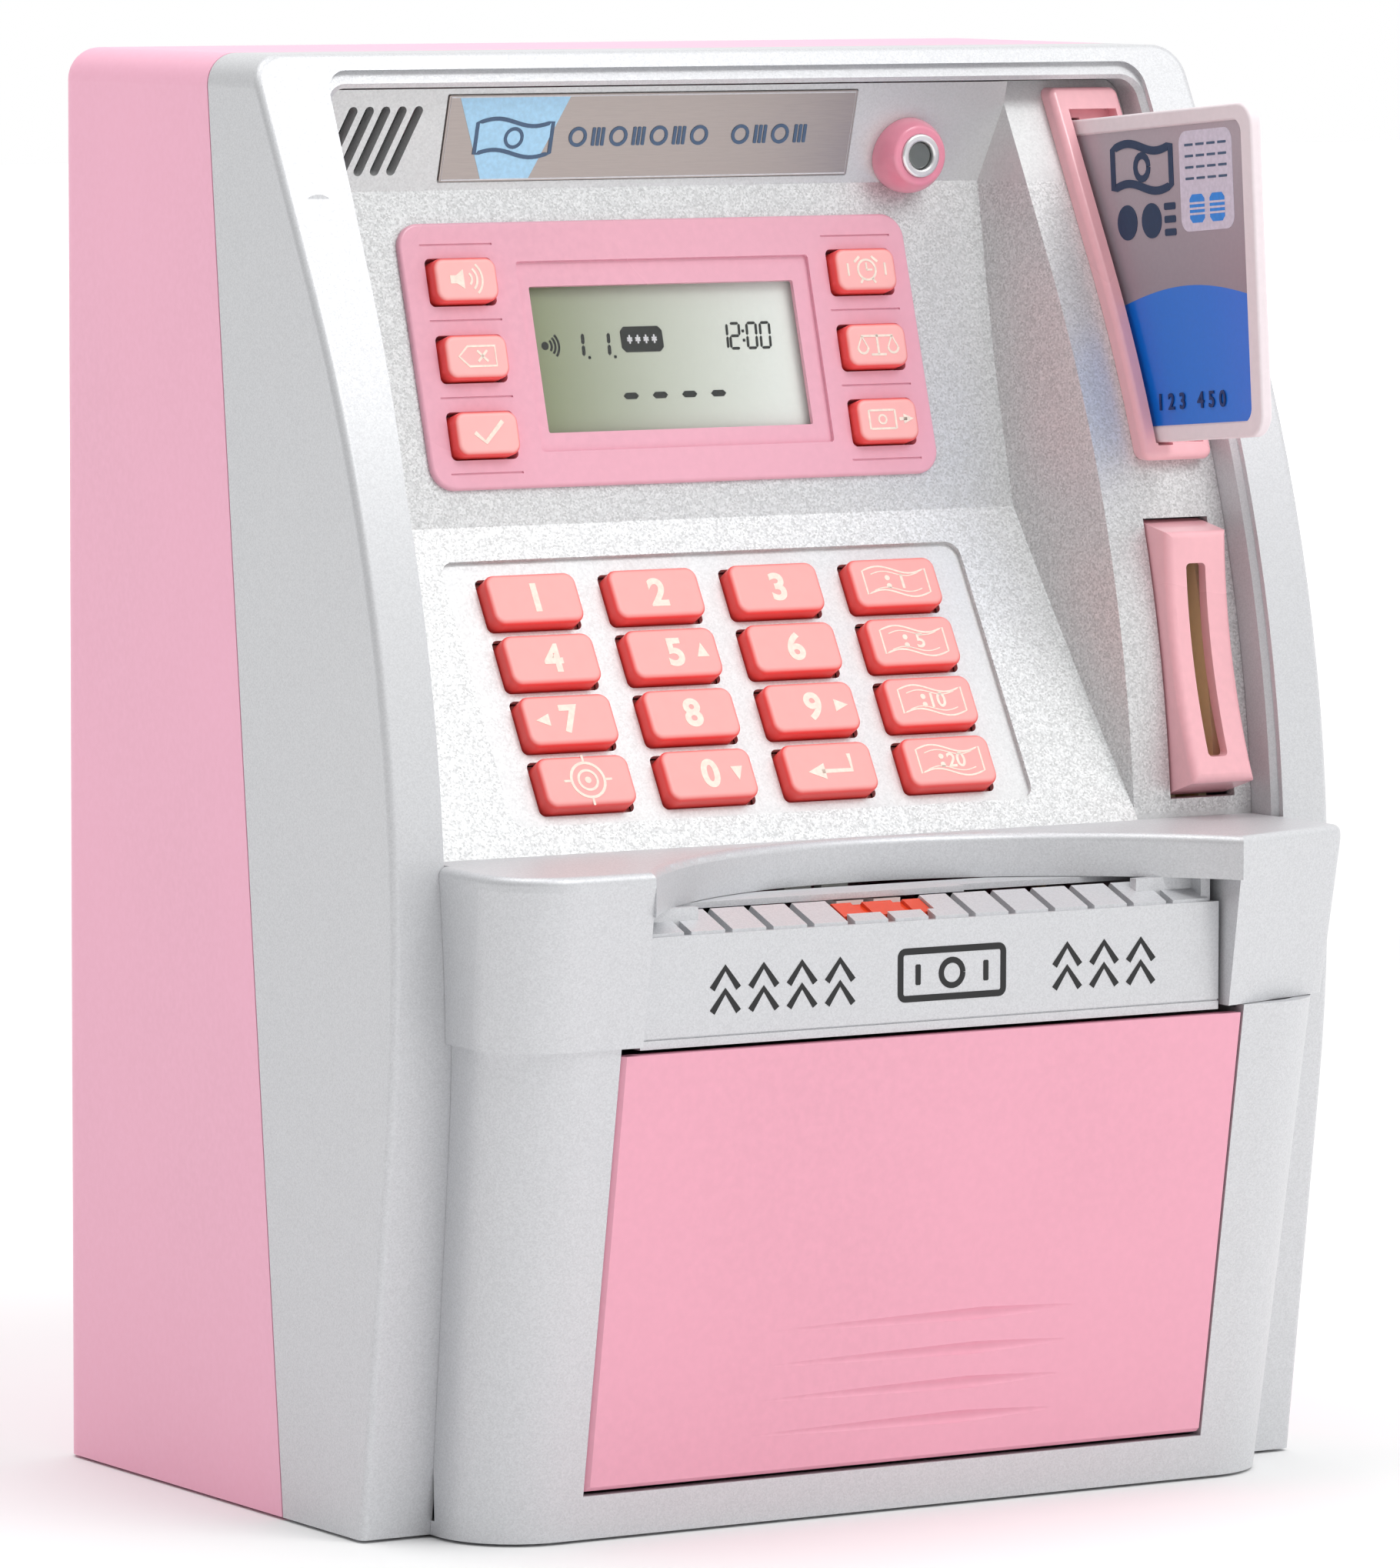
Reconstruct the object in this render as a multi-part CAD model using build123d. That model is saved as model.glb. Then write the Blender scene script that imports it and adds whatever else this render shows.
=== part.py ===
"""Toy cash-machine savings bank, built as separate parts, in millimetres.

X runs to the right of someone facing the bank, Y runs to the back and Z is up.
The origin is the middle of the bank's footprint on the table.
"""
import math
import os

from build123d import *

# Overall case
WIDTH = 183.0
HEIGHT = 240.0
BACK_Y = 70.5
FRONT_Y = -68.1
WALL = 2.4
INNER_X = WIDTH / 2 - WALL

# Side profile of the front columns: a straight foot, one bend, a straight top
FOOT_Y = -33.0
FOOT_LEAN = math.radians(7.85)
BEND_Z = 63.3
BEND_RADIUS = 228.6
TOP_LEAN = math.radians(28.4)
BEND_CENTRE_Y = FOOT_Y - BEND_Z * math.tan(FOOT_LEAN) + BEND_RADIUS * math.cos(FOOT_LEAN)
BEND_CENTRE_Z = BEND_Z + BEND_RADIUS * math.sin(FOOT_LEAN)
BEND_TOP_Z = BEND_CENTRE_Z + BEND_RADIUS * math.sin(TOP_LEAN)

# Seam between the silver front and the pink rear cover
SEAM_TOP_Y = 18.5
SEAM_FOOT_Y = -6.7
SEAM_GAP = 0.35

# Console surface as (Y, Z) corners: keypad foot, keypad/display break, display/header break, top
CONSOLE = [(-35.7, 111.5), (-5.9, 162.0), (9.8, 217.0), (5.15, 234.0)]
CONSOLE_LEFT = -82.5
CONSOLE_RIGHT = 51.4
PILLAR_LEFT = 57.0
PILLAR_RIGHT = 82.5
PILLAR_DEPTH = 8.0
WALL_DRAFT_DEPTH = 20.0
KEYPAD_LEAN = math.atan((CONSOLE[1][0] - CONSOLE[0][0]) / (CONSOLE[1][1] - CONSOLE[0][1]))
DISPLAY_LEAN = math.atan((CONSOLE[2][0] - CONSOLE[1][0]) / (CONSOLE[2][1] - CONSOLE[1][1]))
HEADER_LEAN = math.atan((CONSOLE[3][0] - CONSOLE[2][0]) / (CONSOLE[3][1] - CONSOLE[2][1]))

# Shelf and bill slot
SHELF_TOP = 110.5
SHELF_PLATE = 2.4
BOX_FOOT = 81.8
BOX_INNER_X = 56.9
BOX_OUTER_X = 82.9
BOX_DRAFT = (1.1, 4.1)
ARCH_RADIUS = 68.9
ARCH_CENTRE_Y = FRONT_Y - math.sqrt(ARCH_RADIUS**2 - BOX_INNER_X**2)
APRON_FOOT = 103.2
GUIDE_PLATE = (102.1, 103.1)
RAMP_SLOPE = 0.19
TRAY_FRONT_Y = -61.9
TRAY_FOOT = 81.1
TRAY_LIP_Z = 99.2

# Lower front bulge and door
BULGE_FRONT_Y = -50.1
BULGE_LEAN = 0.1616
DOOR_HALF = 60.0
DOOR_Z = (8.0, 80.4)
DOOR_THICK = 2.6
DOOR_PIVOT = (-48.9, 12.0)

# Keypad keys
KEY_X = -12.95
KEY_Z = 135.4
KEY_PITCH = (23.45, 11.15)
KEY_SIZE = (17.3, 9.1)
KEY_RISE = 2.6
KEY_NAMES = [
    ["1", "2", "3", "note_1"],
    ["4", "5", "6", "note_5"],
    ["7", "8", "9", "note_10"],
    ["target", "0", "enter", "note_20"],
]

# Display group, in its own plane
DISPLAY_X = -12.2
DISPLAY_Z = 189.6
BEZEL_OUTLINE = [(-49.5, -22.5), (49.5, -22.5), (49.0, 22.8), (-50.0, 22.8)]
BEZEL_RISE = 1.0
FUNCTION_SIZE = (12.1, 7.5)
FUNCTION_U = 39.1
FUNCTION_V = [12.6, -0.5, -13.5]
FUNCTION_RISE = 2.2
FUNCTION_NAMES = [["sound", "clear", "set"], ["alarm", "balance", "withdraw"]]

# Header: nameplate, speaker grille and toy camera
HEADER_X = -13.0
HEADER_Z = 225.7
CAMERA_X = 38.3
CAMERA_Z = 221.6

# Card and coin slots on the right-hand pillar
SLOT_X = 69.6
CARD_SIZE = (85.6, 56.0, 2.2)
CARD_TILT = 4.8
CARD_CENTRE = (-10.98, 200.3)
CARD_BEZEL_Z = (170.3, 232.8)
COIN_BEZEL_Z = (114.0, 160.2)
COIN_SLOT = (68.6, 72.5, 121.0, 153.3)
LEVER_Y = -20.6

# Bill feeder
FEED_Y = -33.0
FEED_Z = 95.8
FEED_RADIUS = 6.0
PINCH_Z = 104.9
PINCH_RADIUS = 2.5
PINCH_SHAFT = 1.0
CHEEK_X = 51.0
MODULE = 0.8
PINION_TEETH = 8
GEAR_TEETH = 16
GEAR_X = -54.8
MOTOR_Y = FEED_Y + MODULE * (PINION_TEETH + GEAR_TEETH) / 2 + 0.25

# Rear cover, battery bay and case screws
BATTERY_Z = 41.5
BATTERY_BAY = (29.0, 23.6)
CELL_PITCH = 15.2
CELL_RADIUS = 7.1
BAY_DEPTH = 17.0
SCREW_X = 85.7
SCREW_Z = [28.0, 214.0]


def face_y(z, depth=0.0):
    """Y of the column face at height z, moved back by depth."""
    if z < BEND_Z:
        return FOOT_Y - z * math.tan(FOOT_LEAN) + depth
    if z < BEND_TOP_Z:
        return BEND_CENTRE_Y - math.sqrt(BEND_RADIUS**2 - (z - BEND_CENTRE_Z) ** 2) + depth
    top_y = BEND_CENTRE_Y - BEND_RADIUS * math.cos(TOP_LEAN)
    return top_y + (z - BEND_TOP_Z) * math.tan(TOP_LEAN) + depth


def seam_y(z):
    """Y of the seam between front and rear shells at height z."""
    return SEAM_FOOT_Y + (SEAM_TOP_Y - SEAM_FOOT_Y) * z / HEIGHT


def console_y(z):
    """Y of the console surface at height z."""
    for (y0, z0), (y1, z1) in zip(CONSOLE, CONSOLE[1:]):
        if z <= z1:
            return y0 + (y1 - y0) * (z - z0) / (z1 - z0)
    return CONSOLE[-1][0]


def face_edges(z0, z1, depth):
    """Edges that run up the column face from z0 to z1, moved back by depth."""
    stops = [z0] + [z for z in (BEND_Z, BEND_TOP_Z) if z0 < z < z1] + [z1]
    edges = []
    for low, high in zip(stops, stops[1:]):
        middle = (low + high) / 2
        start = (0, face_y(low, depth), low)
        end = (0, face_y(high, depth), high)
        if BEND_Z < middle < BEND_TOP_Z:
            edges.append(ThreePointArc(start, (0, face_y(middle, depth), middle), end))
        else:
            edges.append(Line(start, end))
    return edges


def side_prism(edges, points, x0, x1):
    """Extrude along X the outline made by edges and the (Y, Z) points after them."""
    corners = [(0, y, z) for y, z in points]
    if edges:
        corners = [edges[-1] @ 1] + corners + [edges[0] @ 0]
    else:
        corners = corners + [corners[0]]
    lines = [Line(a, b) for a, b in zip(corners, corners[1:])]
    outline = Wire(list(edges) + lines)
    return Pos(x0, 0, 0) * extrude(Face(outline), amount=x1 - x0, dir=(1, 0, 0))


def behind_face(x0, x1, z0, z1, depth, back_y):
    """Everything between the column face, moved back by depth, and the plane back_y."""
    return side_prism(face_edges(z0, z1, depth), [(back_y, z1), (back_y, z0)], x0, x1)


def face_band(x0, x1, z0, z1, near, far):
    """A slab that follows the column face between the depths near and far."""
    solid = behind_face(x0, x1, z0, z1, near, 200)
    return solid - behind_face(x0 - 1, x1 + 1, z0 - 1, z1 + 1, far, 201)


def block(x0, x1, y0, y1, z0, z1):
    """A box between two corners."""
    centre = Pos((x0 + x1) / 2, (y0 + y1) / 2, (z0 + z1) / 2)
    return centre * Box(x1 - x0, y1 - y0, z1 - z0)


def rod_x(radius, x0, x1, y, z):
    """A cylinder along X."""
    return Pos((x0 + x1) / 2, y, z) * Rot(0, 90, 0) * Cylinder(radius, x1 - x0)


def rod_y(radius, y0, y1, x, z):
    """A cylinder along Y."""
    return Pos(x, (y0 + y1) / 2, z) * Rot(90, 0, 0) * Cylinder(radius, y1 - y0)


def rounded_slab(width, height, radius, w0, w1):
    """A plate with rounded corners, between the levels w0 and w1."""
    return Pos(0, 0, w0) * extrude(RectangleRounded(width, height, radius), amount=w1 - w0)


def panel_plane(x, z, lean):
    """Local frame on a console face: u is X, v runs up the face and w points out of it."""
    normal = (0, -math.cos(lean), math.sin(lean))
    return Plane(origin=(x, console_y(z), z), x_dir=(1, 0, 0), z_dir=normal)


KEYPAD = panel_plane(KEY_X, KEY_Z, KEYPAD_LEAN).location
DISPLAY = panel_plane(DISPLAY_X, DISPLAY_Z, DISPLAY_LEAN).location
HEADER = panel_plane(HEADER_X, HEADER_Z, HEADER_LEAN).location


def key_places():
    """Name and local centre of each keypad key."""
    places = []
    for row, names in enumerate(KEY_NAMES):
        for column, name in enumerate(names):
            u = (column - 1.5) * KEY_PITCH[0]
            v = (1.5 - row) * KEY_PITCH[1]
            places.append((name, u, v))
    return places


def function_places():
    """Name and local centre of each function key beside the display."""
    places = []
    for side, names in zip((-1, 1), FUNCTION_NAMES):
        for name, v in zip(names, FUNCTION_V):
            places.append((name, side * FUNCTION_U, v))
    return places


def opening_outline(inset, top):
    """Front view of the opening between the columns; the left column widens towards the top."""
    left = -81.9 + inset
    return [(left, 100), (left, 170), (left + 3.6, top), (82.0 - inset, top), (82.0 - inset, 100)]


def opening_prism(inset, top, y0, y1):
    """The column opening as a solid that runs from y0 to y1."""
    corners = [(x, 0, z) for x, z in opening_outline(inset, top)]
    outline = Face(Wire.make_polygon(corners, close=True))
    upper = outline.vertices().sort_by(Axis.Z)[-2:]
    outline = outline.fillet_2d(4.0 - inset, upper)
    return Pos(0, y0, 0) * extrude(outline, amount=y1 - y0, dir=(0, 1, 0))


def front_frame():
    """Silver side walls, columns and top bar, open in the middle."""
    back = [(SEAM_TOP_Y, HEIGHT), (SEAM_FOOT_Y, 0)]
    shell = side_prism(face_edges(0, HEIGHT, 0), back, -WIDTH / 2, WIDTH / 2)
    top_corners = shell.edges().filter_by(Axis.Y).filter_by(lambda e: e.center().Z > 239)
    shell = fillet(top_corners, 5.5)
    rim = shell.edges().filter_by(lambda e: on_face(e) and e.center().Z > 2)
    shell = fillet(rim, 1.3)
    shell -= behind_face(-INNER_X, INNER_X, WALL, HEIGHT - WALL, WALL, 40)
    shell -= opening_prism(0.0, 237.3, -60, 8)
    shell -= block(-78.5, 78.5, -60, -30.5, -1, 112)
    bead = face_band(-83.6, 84.2, 108.5, 237.7, 1.2, 10.9)
    bead -= opening_prism(1.0, 234.3, -60, 40)
    shell += chamfer(bead.edges().filter_by(on_opening), 0.9)
    for z in SCREW_Z:
        for side in (-1, 1):
            shell += rod_y(3.5, face_y(z, 1.5), seam_y(z) - 0.6, side * SCREW_X, z)
            shell -= rod_y(1.4, seam_y(z) - 14, seam_y(z) + 1, side * SCREW_X, z)
    return shell


def on_face(edge):
    """True for edges lying on the column face at the outside of the shell."""
    middle = edge.position_at(0.5)
    ends = [edge.position_at(t) for t in (0.02, 0.5, 0.98)]
    return all(abs(p.Y - face_y(p.Z)) < 0.05 for p in ends) and (
        abs(middle.X) > 84 or middle.Z > 239.9
    )


def on_opening(edge):
    """True for the front edges of the bead around the opening."""
    points = [edge.position_at(t) for t in (0.05, 0.5, 0.95)]
    front = all(abs(p.Y - face_y(p.Z, 1.2)) < 0.05 for p in points)
    return front and all(-82 < p.X < 81.5 and p.Z < 235 for p in points) and points[1].Z > 109


def console_solid(grow):
    """Everything behind the console and pillar surfaces, moved in by grow."""
    top = CONSOLE[-1][1]
    line = [(y + grow, z) for y, z in CONSOLE]
    foot = (line[0][0] - 1.77, 108.5)
    console = side_prism([], [foot] + line + [(60, top), (60, 108.5)], CONSOLE_LEFT, PILLAR_LEFT)
    pillar = behind_face(PILLAR_LEFT + grow, PILLAR_RIGHT, 108.5, top, PILLAR_DEPTH + grow, 60)
    near = face_section(PILLAR_LEFT + grow, PILLAR_DEPTH + grow)
    far = face_section(CONSOLE_RIGHT + grow, PILLAR_DEPTH + grow + WALL_DRAFT_DEPTH)
    return console + pillar + loft([far, near], ruled=True)


def face_section(x, depth):
    """A flat section behind the column face, at the plane x."""
    top = CONSOLE[-1][1]
    edges = face_edges(108.5, top, depth)
    corners = [edges[-1] @ 1, (0, 60, top), (0, 60, 108.5), edges[0] @ 0]
    lines = [Line(a, b) for a, b in zip(corners, corners[1:])]
    return Pos(x, 0, 0) * Face(Wire(list(edges) + lines))


def console_panel():
    """Silver console sheet: header, display face, keypad face, slanted wall and pillar."""
    panel = console_solid(0.0) - console_solid(WALL)
    left = behind_face(CONSOLE_LEFT, -79.6, 108.5, 234, 11.2, 60) - console_solid(1.0)
    panel += left
    panel &= opening_prism(1.06, 234.2, -60, 60)
    recess = rounded_slab(101.2, 48.4, 2.6, -0.9, 3)
    panel -= KEYPAD * Pos(0.3, 0.5, 0) * recess
    for _, u, v in key_places():
        panel -= KEYPAD * Pos(u, v, 0) * rounded_slab(18.0, 9.8, 1.1, -4, 3)
    panel -= DISPLAY * rounded_slab(93.2, 39.4, 3, -5, 3)
    panel -= HEADER * rounded_slab(80.2, 15.3, 0.4, -0.5, 3)
    for index in range(5):
        panel -= grille_slot(-58.2 - 3.1 * index)
    panel -= rod_y(5.6, -10, 20, CAMERA_X, CAMERA_Z)
    panel -= face_band(66.2, 77.8, CARD_BEZEL_Z[0] + 1.2, CARD_BEZEL_Z[1] - 1.2, 5, 13)
    panel -= face_band(64.5, 77.6, COIN_BEZEL_Z[0] - 0.4, COIN_BEZEL_Z[1] + 0.4, 5, 13)
    return keep_largest(panel)


def keep_largest(shape):
    """The biggest solid of a shape."""
    return shape.solids().sort_by(SortBy.VOLUME)[-1]


def grille_slot(top_x):
    """One slanted speaker slot in the header."""
    lean = math.degrees(math.atan(4.1 / 11.2))
    slot = Pos(top_x - 2.05 - HEADER_X, -0.3, 0) * Rot(0, 0, -lean)
    return HEADER * slot * Pos(0, 0, -5) * extrude(SlotOverall(12.6, 1.7, rotation=90), amount=8)


def box_outline(side, inset, drop=0.0):
    """Plan of one shelf box, side -1 left or 1 right; drop runs from 0 at the top to 1 at the foot."""
    outer = BOX_OUTER_X - inset - BOX_DRAFT[0] * drop
    inner = BOX_INNER_X + inset
    front = FRONT_Y + inset + BOX_DRAFT[1] * drop
    if side < 0:
        radius = 12.0 - inset
        points = [(outer, -42), (outer, front + radius)]
        last = (outer - radius, front)
        turn = (outer - 0.2929 * radius, front + 0.2929 * radius)
        arc = ThreePointArc(points[1], turn, last)
    else:
        points = [(outer, -42), (outer, front + 10.13)]
        last = (outer - 2.1, front + 7.29)
        arc = TangentArc([points[1], last], tangent=(0, -1))
    lines = [Line(*points), arc, Line(last, (inner, front)), Line((inner, front), (inner, -42)),
             Line((inner, -42), points[0])]
    face = Face(Wire(lines))
    return mirror(face, Plane.YZ) if side < 0 else face


def box_body(side, inset, z0, z1):
    """One shelf box between two heights, drafted towards its foot."""
    span = SHELF_TOP - SHELF_PLATE - BOX_FOOT
    sections = []
    for z in (z0, z1):
        drop = (SHELF_TOP - SHELF_PLATE - z) / span
        sections.append(Pos(0, 0, z) * box_outline(side, inset, drop))
    return loft(sections, ruled=True)


def rise(face, z, height):
    """Extrude a plan upwards from z by height."""
    return Pos(0, 0, z) * extrude(face, amount=height, dir=(0, 0, 1))


def shelf():
    """Silver shelf with the concave arch and the two boxes beside the bill slot."""
    corners = [(-80.8, -33.5), (80.8, -33.5), (80.8, -43), (60, -66), (-60, -66), (-80.8, -43)]
    plan = Face(Wire.make_polygon([(x, y, 0) for x, y in corners], close=True))
    plan += box_outline(-1, 0.0) + box_outline(1, 0.0)
    arch = Pos(0, ARCH_CENTRE_Y, 0) * Cylinder(ARCH_RADIUS, 60)
    arch_cut = (Pos(0, 0, 100) * arch) & block(-BOX_INNER_X, BOX_INNER_X, -80, -30, 75, 115)
    top = rise(plan, SHELF_TOP - SHELF_PLATE, SHELF_PLATE)
    for side in (-1, 1):
        outer = box_body(side, 0.0, BOX_FOOT, SHELF_TOP - SHELF_PLATE)
        top += outer - box_body(side, 2.2, BOX_FOOT + 2, SHELF_TOP - SHELF_PLATE)
    ring = Pos(0, ARCH_CENTRE_Y, (APRON_FOOT + SHELF_TOP) / 2) * (
        Cylinder(ARCH_RADIUS + 2.0, SHELF_TOP - APRON_FOOT)
    )
    top += ring & block(-BOX_INNER_X, BOX_INNER_X, FRONT_Y, -30, 75, 115)
    top -= arch_cut
    rim = top.edges().filter_by(lambda e: e.center().Z > SHELF_TOP - 0.01 and e.center().Y < -36)
    rim = rim.filter_by(lambda e: abs(e.center().X) < 88 and not on_column(e))
    top = fillet(rim, 1.4)
    top -= behind_face(-95, -80.8, 70, 115, -0.05, 60) + behind_face(80.9, 95, 70, 115, -0.05, 60)
    top -= behind_face(-82, -76, 70, 108.0, -0.05, 60) + behind_face(76, 82.1, 70, 108.0, -0.05, 60)
    return keep_largest(top - console_solid(-0.06))


def on_column(edge):
    """True for shelf edges that end up inside the columns."""
    points = [edge.position_at(t) for t in (0.0, 0.5, 1.0)]
    return all(p.Y > -43.4 for p in points) and abs(points[1].X) > 57


def bulge_outline(z, inset):
    """Plan of the lower front at height z."""
    half = 78.7 + z * 0.024 - inset
    front = BULGE_FRONT_Y - BULGE_LEAN * z + inset
    back = -28.0
    radius = 14.0 - inset
    turn = (half - 0.2929 * radius, front + 0.2929 * radius)
    right = ThreePointArc((half, front + radius), turn, (half - radius, front))
    left = ThreePointArc((-half + radius, front), (-turn[0], turn[1]), (-half, front + radius))
    lines = [Line((half, back), (half, front + radius)), right,
             Line((half - radius, front), (-half + radius, front)), left,
             Line((-half, front + radius), (-half, back)), Line((-half, back), (half, back))]
    return Pos(0, 0, z) * Face(Wire(lines))


def lower_front():
    """Silver lower front with the door opening and the door's hinge lugs."""
    top = BOX_FOOT - 0.1
    body = loft([bulge_outline(0, 0), bulge_outline(top, 0)], ruled=True)
    body -= loft([bulge_outline(WALL, WALL), bulge_outline(top + 1, WALL)], ruled=True)
    body -= block(-100, 100, -34.6, -20, WALL, 100)
    body -= behind_face(-100, -78.4, -1, 100, -0.05, 20) + behind_face(78.4, 100, -1, 100, -0.05, 20)
    body -= block(-60.5, 60.5, -80, -30, DOOR_Z[0] - 0.7, 100)
    body -= block(-100, 100, -30.7, 0, -1, 4)
    pivot_y, pivot_z = DOOR_PIVOT
    for side in (-1, 1):
        lug = block(61.0, 65.0, pivot_y - 2.4, pivot_y + 3, WALL - 0.1, pivot_z + 3)
        cheek = block(60.5, 62.7, -66, -36, DOOR_Z[0], 81)
        wall = (lug + cheek) & loft([bulge_outline(0, 1), bulge_outline(top, 1)], ruled=True)
        body += wall if side > 0 else mirror(wall, Plane.YZ)
    for side in (-1, 1):
        body -= rod_x(1.55, min(side * 60, side * 64.2), max(side * 60, side * 64.2), pivot_y, pivot_z)
    return keep_largest(body)


def vault_door():
    """Pink door with its bottom pins, finger grooves and latch lug."""
    low, high = DOOR_Z
    line = [(bulge_y(low) + 0.05, low), (bulge_y(high) + 0.05, high)]
    outline = line + [(y + DOOR_THICK, z) for y, z in reversed(line)]
    door = side_prism([], outline, -DOOR_HALF, DOOR_HALF)
    left = door.edges().filter_by(
        lambda e: e.center().X < 1 - DOOR_HALF and e.center().Y < bulge_y(e.center().Z) + 0.2
    )
    foot = door.edges().filter_by(Axis.X).group_by(Axis.Z)[0].sort_by(Axis.Y)[0]
    door = chamfer(left + [foot], 0.7)
    for index in range(4):
        z = 32.2 - 5.83 * index
        centre = Pos(14.0 - 0.9 * index, bulge_y(z) - 0.4, z)
        door -= centre * taper_rod(-56.0) + centre * taper_rod(26.0)
    for side in (-1, 1):
        arm = block(55, 59.6, bulge_y(12) + 2, DOOR_PIVOT[0] + 1.9, 9.4, 16)
        pin = rod_x(1.5, 59, 63.9, *DOOR_PIVOT)
        door += arm + pin if side > 0 else mirror(arm + pin, Plane.YZ)
    lug = block(44, 56, -62, -51.5, 66, 70)
    lug -= block(46.5, 53.5, -57.8, -54.2, 60, 75)
    lug -= side_prism([], [(bulge_y(60) - 4, 60), (bulge_y(75) - 4, 75), (bulge_y(75) + 1, 75),
                           (bulge_y(60) + 1, 60)], 40, 60)
    return keep_largest(door + lug)


def taper_rod(length):
    """A rod along X that narrows away from the origin."""
    cone = Cone(1.15, 0.2, abs(length), align=(Align.CENTER, Align.CENTER, Align.MIN))
    return Rot(0, math.copysign(90, length), 0) * cone


def bulge_y(z):
    """Y of the lower front plane at height z."""
    return BULGE_FRONT_Y - BULGE_LEAN * z


def rear_cover():
    """Pink rear shell with screw wells, vents and the battery bay."""
    gap = SEAM_GAP
    outline = [(SEAM_FOOT_Y + gap, 0), (SEAM_TOP_Y + gap, HEIGHT), (BACK_Y, HEIGHT), (BACK_Y, 0)]
    shell = side_prism([], outline, -WIDTH / 2, WIDTH / 2)
    top_corners = shell.edges().filter_by(Axis.Y).filter_by(lambda e: e.center().Z > 239)
    shell = fillet(top_corners, 5.5)
    back = shell.edges().filter_by(lambda e: e.center().Y > BACK_Y - 0.1 and e.center().Z > 1)
    shell = fillet(back, 4.0)
    hollow = [(SEAM_FOOT_Y - 20, WALL), (SEAM_TOP_Y - 20, HEIGHT - WALL),
              (BACK_Y - WALL, HEIGHT - WALL), (BACK_Y - WALL, WALL)]
    shell -= side_prism([], hollow, -INNER_X, INNER_X)
    half_x, half_z = BATTERY_BAY
    inner_y = BACK_Y - WALL - BAY_DEPTH
    bay = block(-half_x - 1.8, half_x + 1.8, inner_y - 1.8, BACK_Y - 2.2,
                BATTERY_Z - half_z - 1.8, BATTERY_Z + half_z + 1.8)
    shell += bay
    shell -= block(-half_x, half_x, inner_y, BACK_Y + 1, BATTERY_Z - half_z, BATTERY_Z + half_z)
    shell -= block(-half_x - 1.3, half_x + 1.3, BACK_Y - 2.2, BACK_Y + 1,
                   BATTERY_Z - half_z - 1.3, BATTERY_Z + half_z + 1.3)
    for index in range(7):
        vent = extrude(SlotOverall(34, 2.4), amount=12)
        shell -= Pos(0, BACK_Y + 2, 150 + 7.5 * index) * Rot(90, 0, 0) * vent
    for z in SCREW_Z:
        for side in (-1, 1):
            seam = seam_y(z)
            shell += rod_y(4.4, seam + 1.0, BACK_Y - 1, side * SCREW_X, z) & block(
                -INNER_X - 0.5, INNER_X + 0.5, -20, BACK_Y, 0, HEIGHT)
            shell -= rod_y(3.3, seam + 5.0, BACK_Y + 1, side * SCREW_X, z)
            shell -= rod_y(1.6, seam, seam + 6, side * SCREW_X, z)
    return keep_largest(shell)


def battery_cover():
    """Pink lid of the battery bay with a finger catch."""
    half_x, half_z = BATTERY_BAY
    lid = block(-half_x - 1.0, half_x + 1.0, BACK_Y - 1.9, BACK_Y,
                BATTERY_Z - half_z - 1.0, BATTERY_Z + half_z + 1.0)
    corners = lid.edges().filter_by(Axis.Y)
    lid = fillet(corners, 1.0)
    catch = Pos(0, BACK_Y + 0.6, BATTERY_Z + half_z - 4.5) * Rot(90, 0, 0)
    lid -= catch * extrude(SlotOverall(18, 5), amount=1.5)
    for index in range(5):
        lid -= block(-12, 12, BACK_Y - 0.5, BACK_Y + 1, 24 + 3 * index, 25.2 + 3 * index)
    return lid


def battery_cells():
    """Three round cells lying across the bay."""
    cells = []
    for index in range(3):
        z = BATTERY_Z + (index - 1) * CELL_PITCH
        side = 1 if index % 2 else -1
        y = BACK_Y - WALL - BAY_DEPTH / 2
        body = rod_x(CELL_RADIUS, -24.3, 24.3, y, z)
        body = fillet(body.edges(), 0.8)
        cells.append(body + rod_x(2.7, side * 25.0 - 1.2, side * 25.0 + 1.2, y, z))
    return cells


def battery_contacts():
    """Steel end plates and coil springs of the battery bay."""
    pieces = []
    y = BACK_Y - WALL - BAY_DEPTH / 2
    for index in range(3):
        z = BATTERY_Z + (index - 1) * CELL_PITCH
        side = 1 if index % 2 else -1
        plate = block(side * 27.5 - 0.3, side * 27.5 + 0.3, y - 5, y + 5, z - 5, z + 5)
        pieces.append(plate + rod_x(1.8, side * 27.0 - 0.4, side * 27.0 + 0.4, y, z))
        away = -side
        spring = block(away * 27.9 - 0.3, away * 27.9 + 0.3, y - 5, y + 5, z - 5, z + 5)
        for turn in range(4):
            ring = Torus(4.6 - 0.5 * turn, 0.4)
            spring += Pos(away * (27.4 - 0.7 * turn), y, z) * Rot(0, 90, 0) * ring
        spring += rod_x(0.5, away * 26.4 - 1.2, away * 26.4 + 1.2, y + 3.6, z)
        pieces.append(keep_largest(spring))
    return pieces


def screws():
    """Four case screws, one solid each."""
    pieces = []
    for z in SCREW_Z:
        for side in (-1, 1):
            head_y = seam_y(z) + 5.0
            head = rod_y(2.8, head_y + 0.05, head_y + 2.0, side * SCREW_X, z)
            head = fillet(head.edges().sort_by(Axis.Y)[-1], 0.7)
            shank = rod_y(1.35, head_y - 14, head_y + 0.5, side * SCREW_X, z)
            cross = block(side * SCREW_X - 1.8, side * SCREW_X + 1.8, head_y + 1, head_y + 3,
                          z - 0.35, z + 0.35)
            cross += block(side * SCREW_X - 0.35, side * SCREW_X + 0.35, head_y + 1, head_y + 3,
                           z - 1.8, z + 1.8)
            pieces.append(head + shank - cross)
    return pieces


def nameplate():
    """Brushed metal plate in the header."""
    return HEADER * rounded_slab(79.8, 14.9, 0.3, -0.45, 0.25)


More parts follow.
